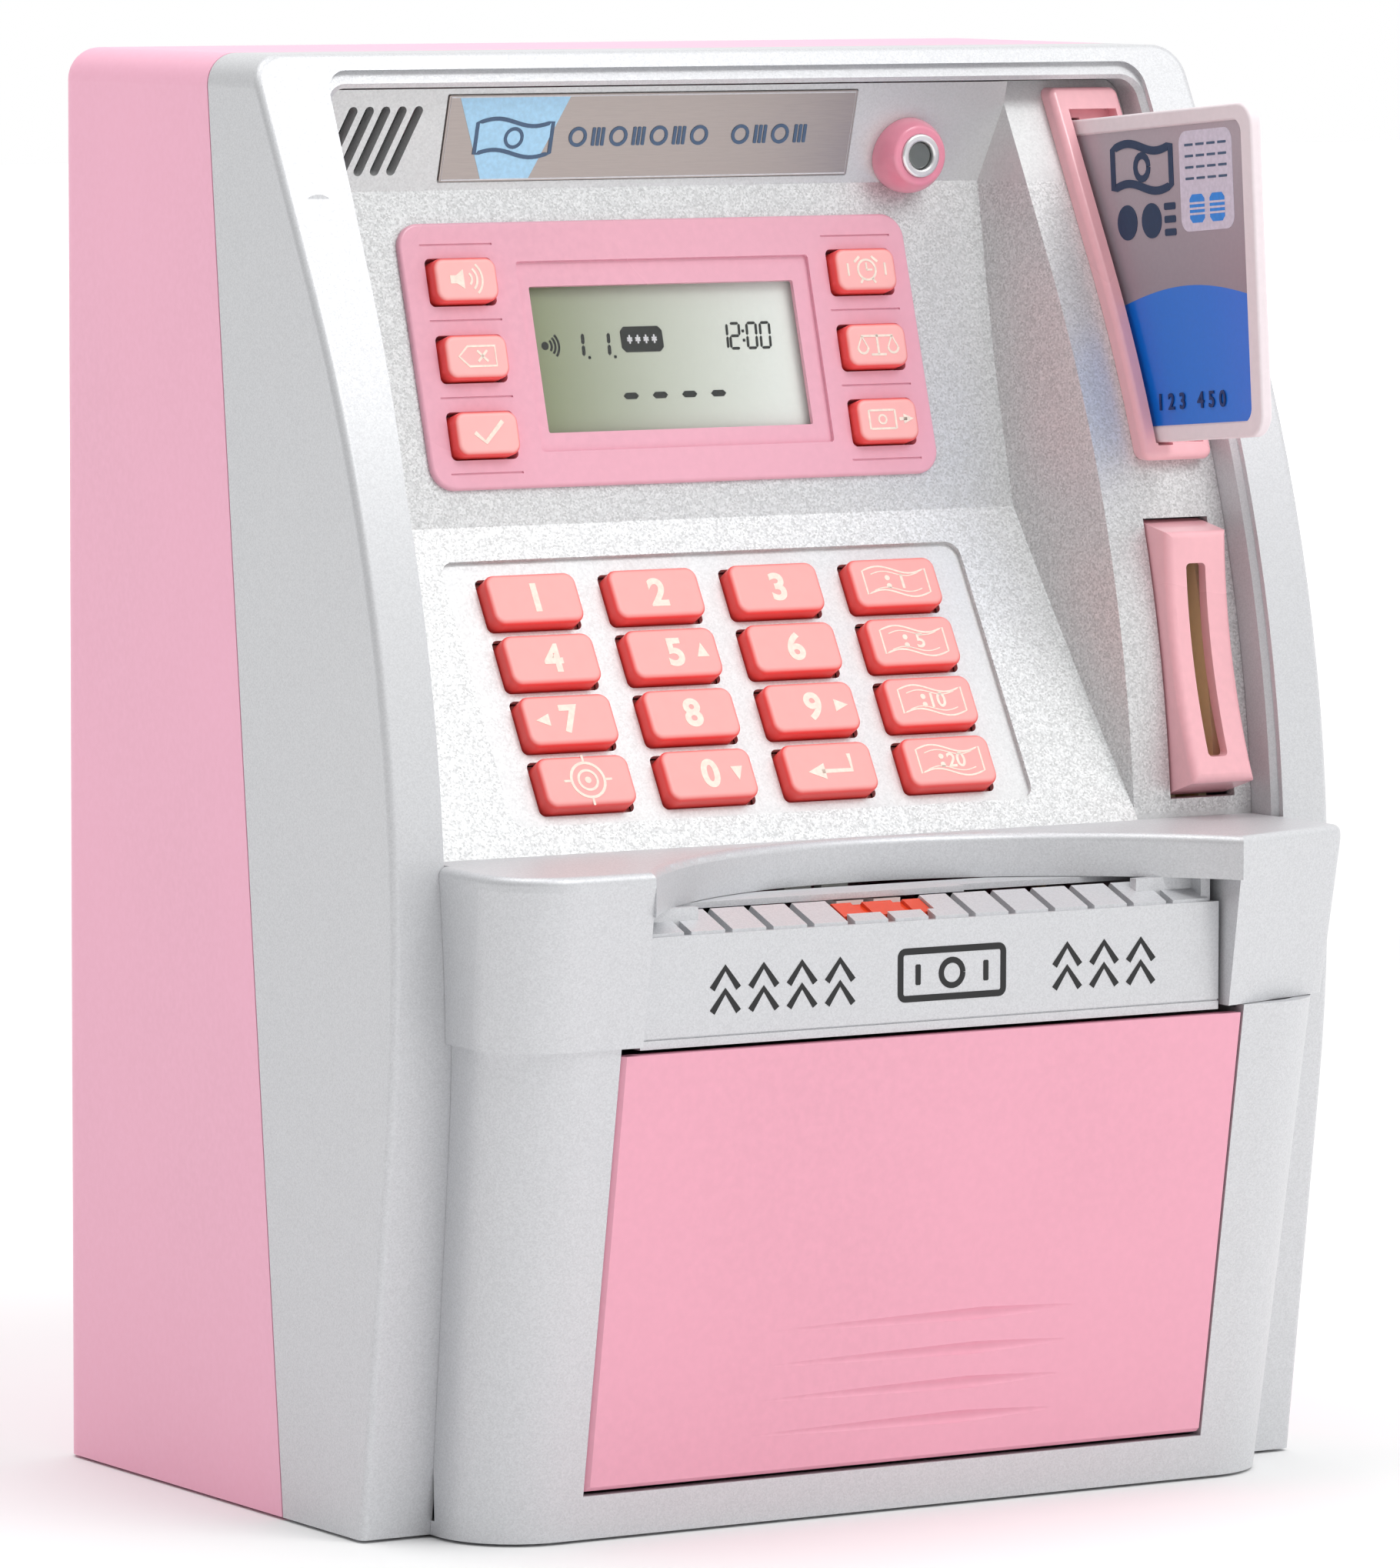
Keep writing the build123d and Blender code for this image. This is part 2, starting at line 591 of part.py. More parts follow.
def camera_housing():
    """Pink ball round the toy camera, with a flat front."""
    wall = console_y(CAMERA_Z)
    ball = Pos(CAMERA_X, wall - 0.9, CAMERA_Z) * Sphere(6.5)
    front = wall - 5.1
    ball -= block(30, 48, front - 5, front, 210, 235)
    ball -= block(30, 48, wall + 2.5, 40, 210, 235)
    ball -= console_shadow()
    ball += rod_y(5.3, wall - 2, wall + 4.5, CAMERA_X, CAMERA_Z)
    ball = fillet(ball.edges().sort_by(Axis.Y)[0], 0.7)
    ball -= rod_y(3.75, front - 1, front + 1.5, CAMERA_X, CAMERA_Z)
    return keep_largest(ball)


def console_shadow():
    """The volume behind the console surface near the camera ball."""
    line = [(y - 0.05, z) for y, z in CONSOLE]
    return side_prism([], line + [(60, 234), (60, 108.5)], 30, 48)


def camera_ring():
    """Chrome ring at the front of the toy camera."""
    front = console_y(CAMERA_Z) - 5.1
    ring = rod_y(3.7, front - 0.5, front + 1.45, CAMERA_X, CAMERA_Z)
    ring -= rod_y(2.4, front - 1, front + 2, CAMERA_X, CAMERA_Z)
    edges = ring.edges().sort_by(Axis.Y)[:2]
    return fillet(edges, 0.4)


def camera_lens():
    """Dark domed lens inside the ring."""
    front = console_y(CAMERA_Z) - 5.1
    lens = rod_y(2.35, front + 0.25, front + 1.45, CAMERA_X, CAMERA_Z)
    return fillet(lens.edges().sort_by(Axis.Y)[0], 0.5)


def speaker():
    """Small round speaker behind the header grille."""
    place = HEADER * Pos(-66.0 - HEADER_X, -1.2, 0)
    rim = Pos(0, 0, -4.4) * Cylinder(7.6, 1.4)
    cone = Pos(0, 0, -6.4) * Cone(3.2, 6.6, 3.0)
    magnet = Pos(0, 0, -9.3) * Cylinder(4.6, 3.2)
    dish = Pos(0, 0, -4.4) * Cone(2.0, 5.8, 2.2)
    return place * (rim + cone + magnet - dish)


def lcd_bezel():
    """Pink display surround with key holes, a stepped frame and engraved lines."""
    outline = Face(Wire.make_polygon([(u, v, 0) for u, v in BEZEL_OUTLINE], close=True))
    outline = outline.fillet_2d(4.2, outline.vertices())
    plate = Pos(0, 0, 0.05) * extrude(outline, amount=BEZEL_RISE - 0.05)
    plate = fillet(plate.edges().group_by(Axis.Z)[-1], 0.6)
    plate += rounded_slab(92.8, 39.0, 2.8, -2.4, 0.2)
    plate -= Pos(0.5, -0.35, 0) * rounded_slab(57.2, 32.5, 0.6, BEZEL_RISE - 0.7, 3)
    plate -= Pos(0, -0.8, 0) * rounded_slab(51.7, 25.0, 0.4, -3, 3)
    plate -= Pos(0, -0.8, 0) * rounded_slab(54.2, 27.6, 0.4, -3, -0.55)
    plate -= Pos(0, -0.8, 0) * rounded_slab(57.0, 30.6, 0.4, -3, -1.5)
    for _, u, v in function_places():
        plate -= Pos(u, v, 0) * rounded_slab(FUNCTION_SIZE[0] + 0.7, FUNCTION_SIZE[1] + 0.7,
                                             1.0, -3, 3)
    for side in (-1, 1):
        for v in (19.0, 6.1, -7.0, -19.9):
            plate -= Pos(side * FUNCTION_U, v, BEZEL_RISE) * Box(13.8, 0.35, 0.5)
    return DISPLAY * plate


def lcd_window():
    """Clear cover of the display."""
    return DISPLAY * Pos(0, -0.8, 0) * rounded_slab(53.6, 27.0, 0.3, -1.4, -0.65)


def lcd_module():
    """Display glass and its holder."""
    holder = Pos(0, -0.8, 0) * rounded_slab(56.4, 30.0, 0.5, -5.3, -1.6)
    return DISPLAY * holder


def display_board():
    """Circuit board behind the display and the function keys."""
    board = rounded_slab(91.0, 40.0, 1.0, -7.0, -5.5)
    board += Pos(0, 2, -7.9) * Box(16, 16, 1.8)
    board += Pos(24, -10, -8.2) * Box(10, 7, 2.5)
    for side in (-1, 1):
        board -= Pos(side * 43.0, 17.5, -6) * Cylinder(1.3, 6)
    return DISPLAY * board


def keypad_board():
    """Circuit board under the keypad."""
    board = Pos(0, 0, 0) * rounded_slab(91.0, 46.0, 1.0, -7.2, -5.7)
    for side in (-1, 1):
        board -= Pos(side * 43.5, 0, -6) * Cylinder(1.3, 6)
    return KEYPAD * board


def key_cap(width, height, rise, w0):
    """One rubber key: a rounded cap, a skirt through the panel and a flange below it."""
    cap = rounded_slab(width, height, 2.0, w0 + 0.9, rise)
    cap = fillet(cap.edges().group_by(Axis.Z)[-1], 0.9)
    flange = rounded_slab(width + 1.5, height + 1.1, 1.2, w0, w0 + 1.1)
    return cap + flange


def keypad_key(u, v):
    """A keypad key in place."""
    return KEYPAD * Pos(u, v, 0) * key_cap(*KEY_SIZE, KEY_RISE - 0.7, -4.1)


def function_key(u, v):
    """A function key in place."""
    return DISPLAY * Pos(u, v, 0) * key_cap(*FUNCTION_SIZE, BEZEL_RISE + FUNCTION_RISE, -4.0)


def card_bezel():
    """Pink frame round the card slot, with the pocket that holds the card behind it."""
    z0, z1 = CARD_BEZEL_Z
    rim = face_band(65.0, 79.0, z0, z1, 4.6, 7.95)
    corners = rim.edges().filter_by(lambda e: is_corner(e, z0, z1))
    rim = fillet(corners, 1.6)
    front = rim.edges().filter_by(lambda e: all(
        abs(e.position_at(t).Y - face_y(e.position_at(t).Z, 4.6)) < 0.3 for t in (0.1, 0.5, 0.9)))
    rim = fillet(front, 1.1)
    rim += face_band(66.5, 77.5, z0 + 1.5, z1 - 1.5, 7.5, 11.3)
    rim -= face_band(67.7, 77.4, z0 + 3.0, z1 - 3.6, 0, 7.4)
    return keep_largest(rim + card_pocket() - card_space(0.4, 0.5))


def is_corner(edge, z0, z1):
    """True for the short front-to-back corner edges of a band between z0 and z1."""
    centre = edge.center()
    at_end = min(abs(centre.Z - z0), abs(centre.Z - z1)) < 0.05
    return at_end and abs(edge.position_at(1).X - edge.position_at(0).X) < 0.01


def card_place():
    """Local frame of the card: u points outwards along its length, v up, w to the left."""
    tilt = math.radians(CARD_TILT)
    outwards = (0, -math.cos(tilt), math.sin(tilt))
    return Plane(origin=(SLOT_X, *CARD_CENTRE), x_dir=outwards, z_dir=(-1, 0, 0)).location


def card_space(side, edge):
    """The space the card slides through, with side and edge clearances."""
    _, height, thick = CARD_SIZE
    return card_place() * Pos(25.5, 0, 0) * Box(152, height + 2 * edge, thick + 2 * side)


def card():
    """Plastic card with a raised rim and a recessed print area on its left face."""
    length, height, thick = CARD_SIZE
    body = extrude(RectangleRounded(length, height, 4.0), amount=thick / 2, both=True)
    body = fillet(body.edges().group_by(Axis.Z)[-1] + body.edges().group_by(Axis.Z)[0], 0.5)
    body -= rounded_slab(length - 6.0, height - 5.0, 2.6, thick / 2 - 0.35, thick)
    return card_place() * body


def card_pocket():
    """Sleeve behind the bezel, closed at the back."""
    _, height, thick = CARD_SIZE
    pocket = card_place() * Pos(-26.0, 0, 0) * Box(52.6, height + 3.6, thick + 3.4)
    steps = [(face_y(z, 11.2), z) for z in (240, 220, 200, 180, 160, 140, 120, 100)]
    return pocket - side_prism([], steps + [(-90, 100), (-90, 240)], 60, 90)


def coin_bezel():
    """Pink coin slot block with a hollowed front."""
    z0, z1 = COIN_BEZEL_Z
    front_low = (face_y(117, 0.6), 117.0)
    front_high = (face_y(158.5, 1.8), 158.5)
    front_mid = (face_y(138, 4.3), 138.0)
    arc = ThreePointArc((0, *front_low), (0, *front_mid), (0, *front_high))
    back = [(face_y(z1, 10.6), z1), (face_y(z0, 10.6), z0)]
    body = side_prism([arc], back, 64.9, 77.2)
    body = fillet(body.edges().filter_by(lambda e: e.center().Y < face_y(e.center().Z, 5.2)), 1.3)
    x0, x1, low, high = COIN_SLOT
    slot = Pos((x0 + x1) / 2, 0, (low + high) / 2) * Rot(90, 0, 0)
    body -= slot * extrude(RectangleRounded(x1 - x0, high - low, 0.8), amount=60, both=True)
    inner = ThreePointArc((0, face_y(119, 3.2), 119.0), (0, face_y(138, 6.7), 138.0),
                          (0, face_y(155.4, 4.4), 155.4))
    body -= side_prism([inner], [(face_y(155.4, 12), 155.4), (face_y(119, 12), 119)], 66.5, 75.4)
    return keep_largest(body)


def coin_chute():
    """Tan channel from the coin slot down to the vault, with the post of the coin levers."""
    left = behind_face(66.9, 68.5, 100, 157.0, 12.6, 14.0)
    right = behind_face(73.3, 74.9, 82, 157.0, 12.6, 14.0)
    left += behind_face(66.9, 68.5, 119.5, 154.9, 7.6, -20.0)
    right += behind_face(73.3, 74.9, 119.5, 154.9, 7.6, -20.0)
    back = block(68.5, 73.3, 12.4, 14.0, 82, 157)
    floor = side_prism([], [(-28.5, 119.2), (-28.5, 117.6), (-19, 115.6), (-19, 117.2)], 66.9, 74.9)
    apron = Pos(0, 0, 0) * extrude(Face(Wire.make_polygon(
        [(74.9, -26, 95), (73.3, -26, 95), (57.0, -26, 79.6), (57.0, -26, 78.0), (74.9, -26, 93.0)],
        close=True)), amount=40, dir=(0, 1, 0))
    chute = left + right + back + floor + apron
    for low, high in ((135.5, 146.5), (119.6, 126.8)):
        chute -= block(60, 70, -24.2, -12.5, low, high)
    chute += Pos(62.8, LEVER_Y, 132.8) * Cylinder(0.8, 36)
    for z in (114.5, 149.5):
        chute += block(61.0, 67.0, LEVER_Y - 2, LEVER_Y + 2, z, z + 1.6)
    return keep_largest(chute)


def coin_lever(z0, z1, reach):
    """White sprung finger that looks into the coin path."""
    middle = (z0 + z1) / 2
    radius = (z1 - z0) / 2
    nose = Pos(reach - radius, LEVER_Y, middle) * Rot(90, 0, 0) * Cylinder(radius, 1.2)
    arm = block(62.6, reach - radius, LEVER_Y - 0.6, LEVER_Y + 0.6, middle - 1.8, middle + 1.8)
    hub = Pos(62.8, LEVER_Y, middle) * Cylinder(1.5, z1 - z0 + 2)
    return nose + arm + hub - Pos(62.8, LEVER_Y, middle) * Cylinder(0.85, 40)


def bill_tray():
    """Silver bill tray with its comb ramp, lip, end blocks and roller cheeks."""
    near = TRAY_FRONT_Y
    front = side_prism([], [(near, TRAY_FOOT), (near, TRAY_LIP_Z), (near + 1.3, TRAY_LIP_Z),
                            (near + 1.3, 97.4), (-52.8, 99.6), (-52.8, 97.9), (near + 2.4, 95.9),
                            (near + 2.4, TRAY_FOOT)], -56.2, 56.2)
    front -= block(-60, 60, near - 1, near + 0.35, 82.5, 82.8)
    for index in range(14):
        x0 = -54.6 if index == 0 else -50.7 + 7.8 * (index - 1) + 4.6
        x1 = 54.6 if index == 13 else -50.7 + 7.8 * index + 3.2
        rib = [(near + 0.8, 97.3), (near + 0.8, 99.7), (-54.0, 102.4), (-52.2, 100.4),
               (-52.9, 98.7), (near + 2.0, 96.8)]
        front += side_prism([], rib, x0, x1)
    for side in (-1, 1):
        end = block(42.6, 55.4, -57.4, -55.6, 98.6, 103.2)
        end += block(53.6, 55.4, -60.4, -55.6, 97.5, 103.2)
        cheek = block(CHEEK_X, CHEEK_X + 2.0, -56.0, -17.5, 86.0, 107.7)
        cheek -= block(CHEEK_X - 1, CHEEK_X + 3, -57, -47.5, GUIDE_PLATE[0], 110)
        cheek += block(CHEEK_X, 56.2, near + 1.2, -54.0, TRAY_FOOT, 96.0)
        cheek -= rod_x(1.55, CHEEK_X - 1, CHEEK_X + 3, FEED_Y, FEED_Z)
        cheek -= rod_x(PINCH_SHAFT + 0.05, CHEEK_X - 1, CHEEK_X + 3, FEED_Y, PINCH_Z)
        front += (end + cheek) if side > 0 else mirror(end + cheek, Plane.YZ)
    front += block(-CHEEK_X - 1, CHEEK_X + 1, -54.5, -44.0, 97.2, 98.6)
    front += block(-CHEEK_X - 1, CHEEK_X + 1, -30.0, -25.0, 86.0, 88.0)
    front -= block(-15.5, 2.0, -58.6, -52, 90, 110)
    return keep_largest(front)


def bill_sensor():
    """Orange window let into the comb ramp."""
    low = [(-58.4, 97.3), (-58.4, 100.2), (-54.2, 101.9), (-52.3, 100.2), (-52.3, 97.3)]
    window = side_prism([], low, -15.3, 1.8)
    for x in (-10.4, -2.6):
        window -= side_prism([], [(-59, 99.6), (-59, 103.4), (-51, 103.4), (-51, 102.4)],
                             x - 1.1, x + 1.1)
    return window


def bill_guide():
    """Thin plate over the bill path, held by ledges on the roller cheeks."""
    z0, z1 = GUIDE_PLATE
    plate = block(-52.8, 52.8, -50.5, -47.6, z0, z1) + block(-50.6, 50.6, -47.8, -41.8, z0, z1)
    plate -= block(13.0, 60, -60, -48.8, z0 - 1, z1 + 1)
    return plate


def bill_lever():
    """White two-finger lever that feels the bill, turning on the pinch roller's shaft."""
    lever = rod_x(2.0, -12.5, 1.3, FEED_Y, PINCH_Z)
    for x in (-9.2, -2.0):
        lever += block(x - 2.6, x + 2.6, FEED_Y - 1.2, FEED_Y + 1.2, 100.9, PINCH_Z)
        lever += block(x - 2.6, x + 2.6, -50.4, FEED_Y + 1.2, 100.9, 101.8)
    return lever - rod_x(PINCH_SHAFT + 0.06, -20, 20, FEED_Y, PINCH_Z)


def toothed_wheel(teeth, width, offset):
    """Spur wheel with slim straight-sided teeth, turned by offset teeth."""
    root = MODULE * (teeth / 2 - 1.15)
    tip = MODULE * (teeth / 2 + 0.75)
    foot = MODULE * 0.72
    crest = MODULE * 0.32
    wheel = Cylinder(root, width)
    tooth = Polygon((root - 0.4, -foot), (tip, -crest), (tip, crest), (root - 0.4, foot), align=None)
    for index in range(teeth):
        turn = Rot(0, 0, 360.0 * (index + offset) / teeth)
        wheel += turn * Pos(0, 0, -width / 2) * extrude(tooth, amount=width)
    return wheel


def feed_shaft():
    """White shaft of the driven feed roller, moulded in one with its gear."""
    wheel = toothed_wheel(GEAR_TEETH, 3.0, 0.0)
    shaft = rod_x(1.5, -57.4, 53.6, FEED_Y, FEED_Z)
    return shaft + Pos(GEAR_X, FEED_Y, FEED_Z) * Rot(0, 90, 0) * wheel


def feed_tyres():
    """Two rubber tyres on the feed shaft, one solid each."""
    tyres = []
    for x in (-22.0, 22.0):
        tyre = rod_x(FEED_RADIUS, x - 4.5, x + 4.5, FEED_Y, FEED_Z)
        tyre = fillet(tyre.edges(), 0.6)
        tyres.append(tyre - rod_x(1.5, x - 6, x + 6, FEED_Y, FEED_Z))
    return tyres


def motor_pinion():
    """Pinion on the motor shaft, meshing with the feed gear."""
    wheel = toothed_wheel(PINION_TEETH, 3.0, 0.5) - Cylinder(1.0, 10)
    return Pos(GEAR_X, MOTOR_Y, FEED_Z) * Rot(0, 90, 0) * wheel


def pinch_roller():
    """Pinch roller with two plain wheels on a thin shaft."""
    roller = rod_x(PINCH_SHAFT, -53.4, 53.4, FEED_Y, PINCH_Z)
    for x in (-22.0, 22.0):
        wheel = rod_x(PINCH_RADIUS, x - 4.0, x + 4.0, FEED_Y, PINCH_Z)
        roller += fillet(wheel.edges(), 0.4)
    return roller


def feed_motor():
    """Flat-sided motor that drives the bill feed, with its shaft and its bracket."""
    can = rod_x(7.5, -79.0, -61.1, MOTOR_Y, FEED_Z)
    can &= block(-80, -60, -40, 10, FEED_Z - 6, FEED_Z + 6)
    can += block(-61.2, -59.9, MOTOR_Y - 6.0, -17.6, 86.5, 107.0)
    can += rod_x(2.4, -60.0, -58.9, MOTOR_Y, FEED_Z)
    can += rod_x(0.95, -59.0, -53.5, MOTOR_Y, FEED_Z)
    for z in (89.0, 104.0):
        can += rod_x(1.4, -60.0, -53.0, -19.6, z)
    return can


def door_latch():
    """White sliding bolt, held up clear of the door lug until the coil drops it."""
    bolt = block(47.0, 53.0, -57.2, -54.8, 70.6, 77.0)
    arm = block(47.0, 53.0, -57.2, -43.4, 75.2, 77.0)
    stem = Pos(50.0, -44.6, 70.6) * Cylinder(1.2, 10.0)
    return bolt + arm + stem


def latch_coil():
    """Solenoid that drops the door latch, with its holder."""
    coil = Pos(50.0, -44.6, 58.0) * Cylinder(5.6, 18.0)
    coil += block(43.0, 57.0, -39.9, -37.6, 46.0, 70.0)
    coil += block(44.4, 55.6, -50.2, -38.0, 66.4, 67.6)
    coil += block(44.4, 55.6, -50.2, -38.0, 48.4, 49.6)
    return coil - Pos(50.0, -44.6, 62.0) * Cylinder(1.6, 20.0)


def vault_box():
    """Grey inner box that collects notes and coins, open at the front and the top."""
    outer = block(-58.5, 58.5, -38.5, 47.0, 3.0, 74.0)
    outer -= block(-56.9, 56.9, -50.0, 45.4, 4.6, 80.0)
    outer -= block(36.0, 60.0, -40.0, -36.0, 40.0, 90.0)
    return outer


def write_part(name, shape):
    """Write one node's STEP file."""
    solids = shape if isinstance(shape, list) else [shape]
    body = solids[0] if len(solids) == 1 else Compound(children=[Part(s.wrapped) for s in solids])
    export_step(body, f"parts/{name}.step")


def build():
    """Every node of the bank, by name."""
    nodes = {
        "front_frame": front_frame(),
        "console_panel": console_panel(),
        "shelf": shelf(),
        "lower_front": lower_front(),
        "vault_door": vault_door(),
        "rear_cover": rear_cover(),
        "battery_cover": battery_cover(),
        "battery_cells": battery_cells(),
        "battery_contacts": battery_contacts(),
        "screws": screws(),
        "nameplate": nameplate(),
        "camera_housing": camera_housing(),
        "camera_ring": camera_ring(),
        "camera_lens": camera_lens(),
        "speaker": speaker(),
        "lcd_bezel": lcd_bezel(),
        "lcd_window": lcd_window(),
        "lcd_module": lcd_module(),
        "display_board": display_board(),
        "keypad_board": keypad_board(),
        "card_bezel": card_bezel(),
        "card": card(),
        "coin_bezel": coin_bezel(),
        "coin_chute": coin_chute(),
        "coin_lever_upper": coin_lever(136.5, 145.5, 70.3),
        "coin_lever_lower": coin_lever(120.6, 125.6, 70.4),
        "bill_tray": bill_tray(),
        "bill_sensor": bill_sensor(),
        "bill_guide": bill_guide(),
        "bill_lever": bill_lever(),
        "feed_shaft": feed_shaft(),
        "feed_tyres": feed_tyres(),
        "pinch_roller": pinch_roller(),
        "feed_motor": feed_motor(),
        "motor_pinion": motor_pinion(),
        "door_latch": door_latch(),
        "latch_coil": latch_coil(),
        "vault_box": vault_box(),
    }
    for name, u, v in key_places():
        nodes[f"key_{name}"] = keypad_key(u, v)
    for name, u, v in function_places():
        nodes[f"button_{name}"] = function_key(u, v)
    return nodes


os.makedirs("parts", exist_ok=True)
for node, solid in build().items():
    write_part(node, solid)
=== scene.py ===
"""Looks of a toy cash-machine savings bank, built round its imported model, in metres."""

import math

import bmesh
import bpy
from mathutils import Matrix, Vector

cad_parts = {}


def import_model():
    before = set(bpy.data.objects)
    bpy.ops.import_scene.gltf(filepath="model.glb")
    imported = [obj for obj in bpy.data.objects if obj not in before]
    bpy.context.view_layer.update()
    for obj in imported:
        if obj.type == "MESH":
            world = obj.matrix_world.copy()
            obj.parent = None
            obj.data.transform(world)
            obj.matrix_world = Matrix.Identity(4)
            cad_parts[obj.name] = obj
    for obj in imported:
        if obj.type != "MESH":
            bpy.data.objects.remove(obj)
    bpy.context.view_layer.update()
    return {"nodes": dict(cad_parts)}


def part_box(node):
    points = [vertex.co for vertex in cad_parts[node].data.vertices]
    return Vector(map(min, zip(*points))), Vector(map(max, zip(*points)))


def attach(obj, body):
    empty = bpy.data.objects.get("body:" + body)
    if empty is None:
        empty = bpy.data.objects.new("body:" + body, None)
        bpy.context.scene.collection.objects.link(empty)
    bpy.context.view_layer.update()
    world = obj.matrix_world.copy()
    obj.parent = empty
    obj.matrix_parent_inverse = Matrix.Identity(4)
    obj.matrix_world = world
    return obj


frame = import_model()
NODES = frame["nodes"]
SCENE = bpy.context.scene
MM = 0.001


# ---------------------------------------------------------------- local frames, in millimetres

KEYPAD_LEAN = math.radians(30.54)
DISPLAY_LEAN = math.radians(15.93)
HEADER_LEAN = math.radians(-15.30)
CARD_TILT = math.radians(4.8)
KEY_NODES = [n for n in NODES if n.startswith("key_")]
BUTTON_NODES = [n for n in NODES if n.startswith("button_")]
KEY_RISE = 1.9  # from the keypad's face to the tops of the keys
HEADER_FOOT = 0.217  # height of the header's lower edge, in metres
TRAY_DROP = 3.4  # from the tray's middle height down to the middle of its pictures


def reach(nodes, way):
    """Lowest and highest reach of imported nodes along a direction, in metres."""
    along = [way.dot(v.co) for name in nodes for v in NODES[name].data.vertices]
    return min(along), max(along)


def leaning(lean):
    """Directions up and out of a face that leans back by an angle."""
    c, s = math.cos(lean), math.sin(lean)
    return Vector((0, s, c)), Vector((0, -c, s))


def face(lean, *nodes):
    """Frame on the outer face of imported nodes: u is X, v runs up the face and w points out of it."""
    right = Vector((1, 0, 0))
    up, out = leaning(lean)
    middle = (right * sum(reach(nodes, right)) + up * sum(reach(nodes, up))) / 2
    turn = Matrix((right, up, out)).transposed().to_4x4()
    return Matrix.Translation(middle + out * reach(nodes, out)[1]) @ turn @ Matrix.Scale(MM, 4)


def card_frame():
    """Frame in the middle of the card: u points out of the slot, v up and w to the left."""
    c, s = math.cos(CARD_TILT), math.sin(CARD_TILT)
    low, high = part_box("card")
    turn = Matrix(((0, 0, -1), (-c, s, 0), (s, c, 0))).to_4x4()
    return Matrix.Translation((low + high) / 2) @ turn @ Matrix.Scale(MM, 4)


SCREEN = face(DISPLAY_LEAN, "lcd_module")
HEADER = face(HEADER_LEAN, "nameplate")
CARD = card_frame()
TRAY = face(0, "bill_tray") @ Matrix.Translation((0, -TRAY_DROP, 0))


# ---------------------------------------------------------------- materials

class Shader:
    """A material under construction: one Principled shader and helpers that add nodes to it."""

    def __init__(self, name, roughness, metallic=0.0, **sockets):
        self.material = bpy.data.materials.new(name)
        self.material.use_nodes = True
        self.tree = self.material.node_tree
        self.bsdf = self.tree.nodes["Principled BSDF"]
        self.bsdf.inputs["Roughness"].default_value = roughness
        self.bsdf.inputs["Metallic"].default_value = metallic
        for socket, value in sockets.items():
            self.bsdf.inputs[socket.replace("_", " ")].default_value = value
        self.place = self.add("ShaderNodeTexCoord").outputs["Object"]

    def add(self, kind, links=None, **settings):
        """A node with its settings, and its inputs linked or set."""
        node = self.tree.nodes.new(kind)
        for key, value in settings.items():
            setattr(node, key, value)
        for key, value in (links or {}).items():
            if isinstance(value, bpy.types.NodeSocket):
                self.tree.links.new(value, node.inputs[key])
            else:
                node.inputs[key].default_value = value
        return node

    def noise(self, scale, detail=2.0, stretch=None):
        """Noise over the object's own coordinates, 0 to 1."""
        place = self.place
        if stretch:
            place = self.add("ShaderNodeMapping", {"Vector": place, "Scale": stretch}).outputs[0]
        return self.add("ShaderNodeTexNoise", {"Vector": place, "Scale": scale,
                                               "Detail": detail}).outputs["Fac"]

    def flakes(self, scale):
        """A random value for each small cell, 0 to 1."""
        cells = self.add("ShaderNodeTexVoronoi", {"Vector": self.place, "Scale": scale})
        return self.add("ShaderNodeSeparateColor", {"Color": cells.outputs["Color"]}).outputs[0]

    def span(self, value, low, high, start=0.0, stop=1.0):
        """Map a value from start..stop to low..high."""
        return self.add("ShaderNodeMapRange", {"Value": value, "From Min": start, "From Max": stop,
                                               "To Min": low, "To Max": high}).outputs[0]

    def mix(self, factor, first, second, blend="MIX"):
        """Blend two colours."""
        node = self.add("ShaderNodeMix", data_type="RGBA", blend_type=blend)
        for socket, value in zip((node.inputs[0], node.inputs[6], node.inputs[7]),
                                 (factor, first, second)):
            if isinstance(value, bpy.types.NodeSocket):
                self.tree.links.new(value, socket)
            else:
                socket.default_value = value
        return node.outputs[2]

    def link(self, value, socket):
        """Feed a socket of the Principled shader."""
        self.tree.links.new(value, self.bsdf.inputs[socket])

    def bump(self, height, depth):
        """Raise the surface by depth metres where height is 1."""
        node = self.add("ShaderNodeBump", {"Height": height, "Strength": 1.0, "Distance": depth})
        self.link(node.outputs[0], "Normal")


def rgb(red, green, blue, gain=1.0):
    """Linear colour from 8-bit display values."""
    linear = []
    for value in (red, green, blue):
        v = value / 255
        v = v / 12.92 if v <= 0.04045 else ((v + 0.055) / 1.055) ** 2.4
        linear.append(min(v * gain, 1.0))
    return (*linear, 1.0)


def scaled(colour, gain):
    """A colour made darker or lighter, kept within 1."""
    return tuple(min(1, c * gain) for c in colour[:3]) + (1,)


def moulded(name, colour, roughness=0.35, grain=0.035, scale=700, depth=0.00001, **sockets):
    """Moulded plastic: slight mottling, a fine texture and an uneven gloss."""
    s = Shader(name, roughness, **sockets)
    fine = s.noise(scale, 3.0)
    broad = s.noise(14.0, 2.0)
    shade = s.mix(s.span(broad, 0.0, 1.0, 0.3, 0.7), scaled(colour, 1 - 2 * grain), colour)
    shade = s.mix(s.span(fine, 0.0, 0.6, 0.35, 0.75), shade, scaled(colour, 1 + grain))
    s.link(shade, "Base Color")
    s.link(s.span(broad, roughness - 0.05, roughness + 0.06, 0.3, 0.7), "Roughness")
    s.bump(fine, depth)
    return s.material


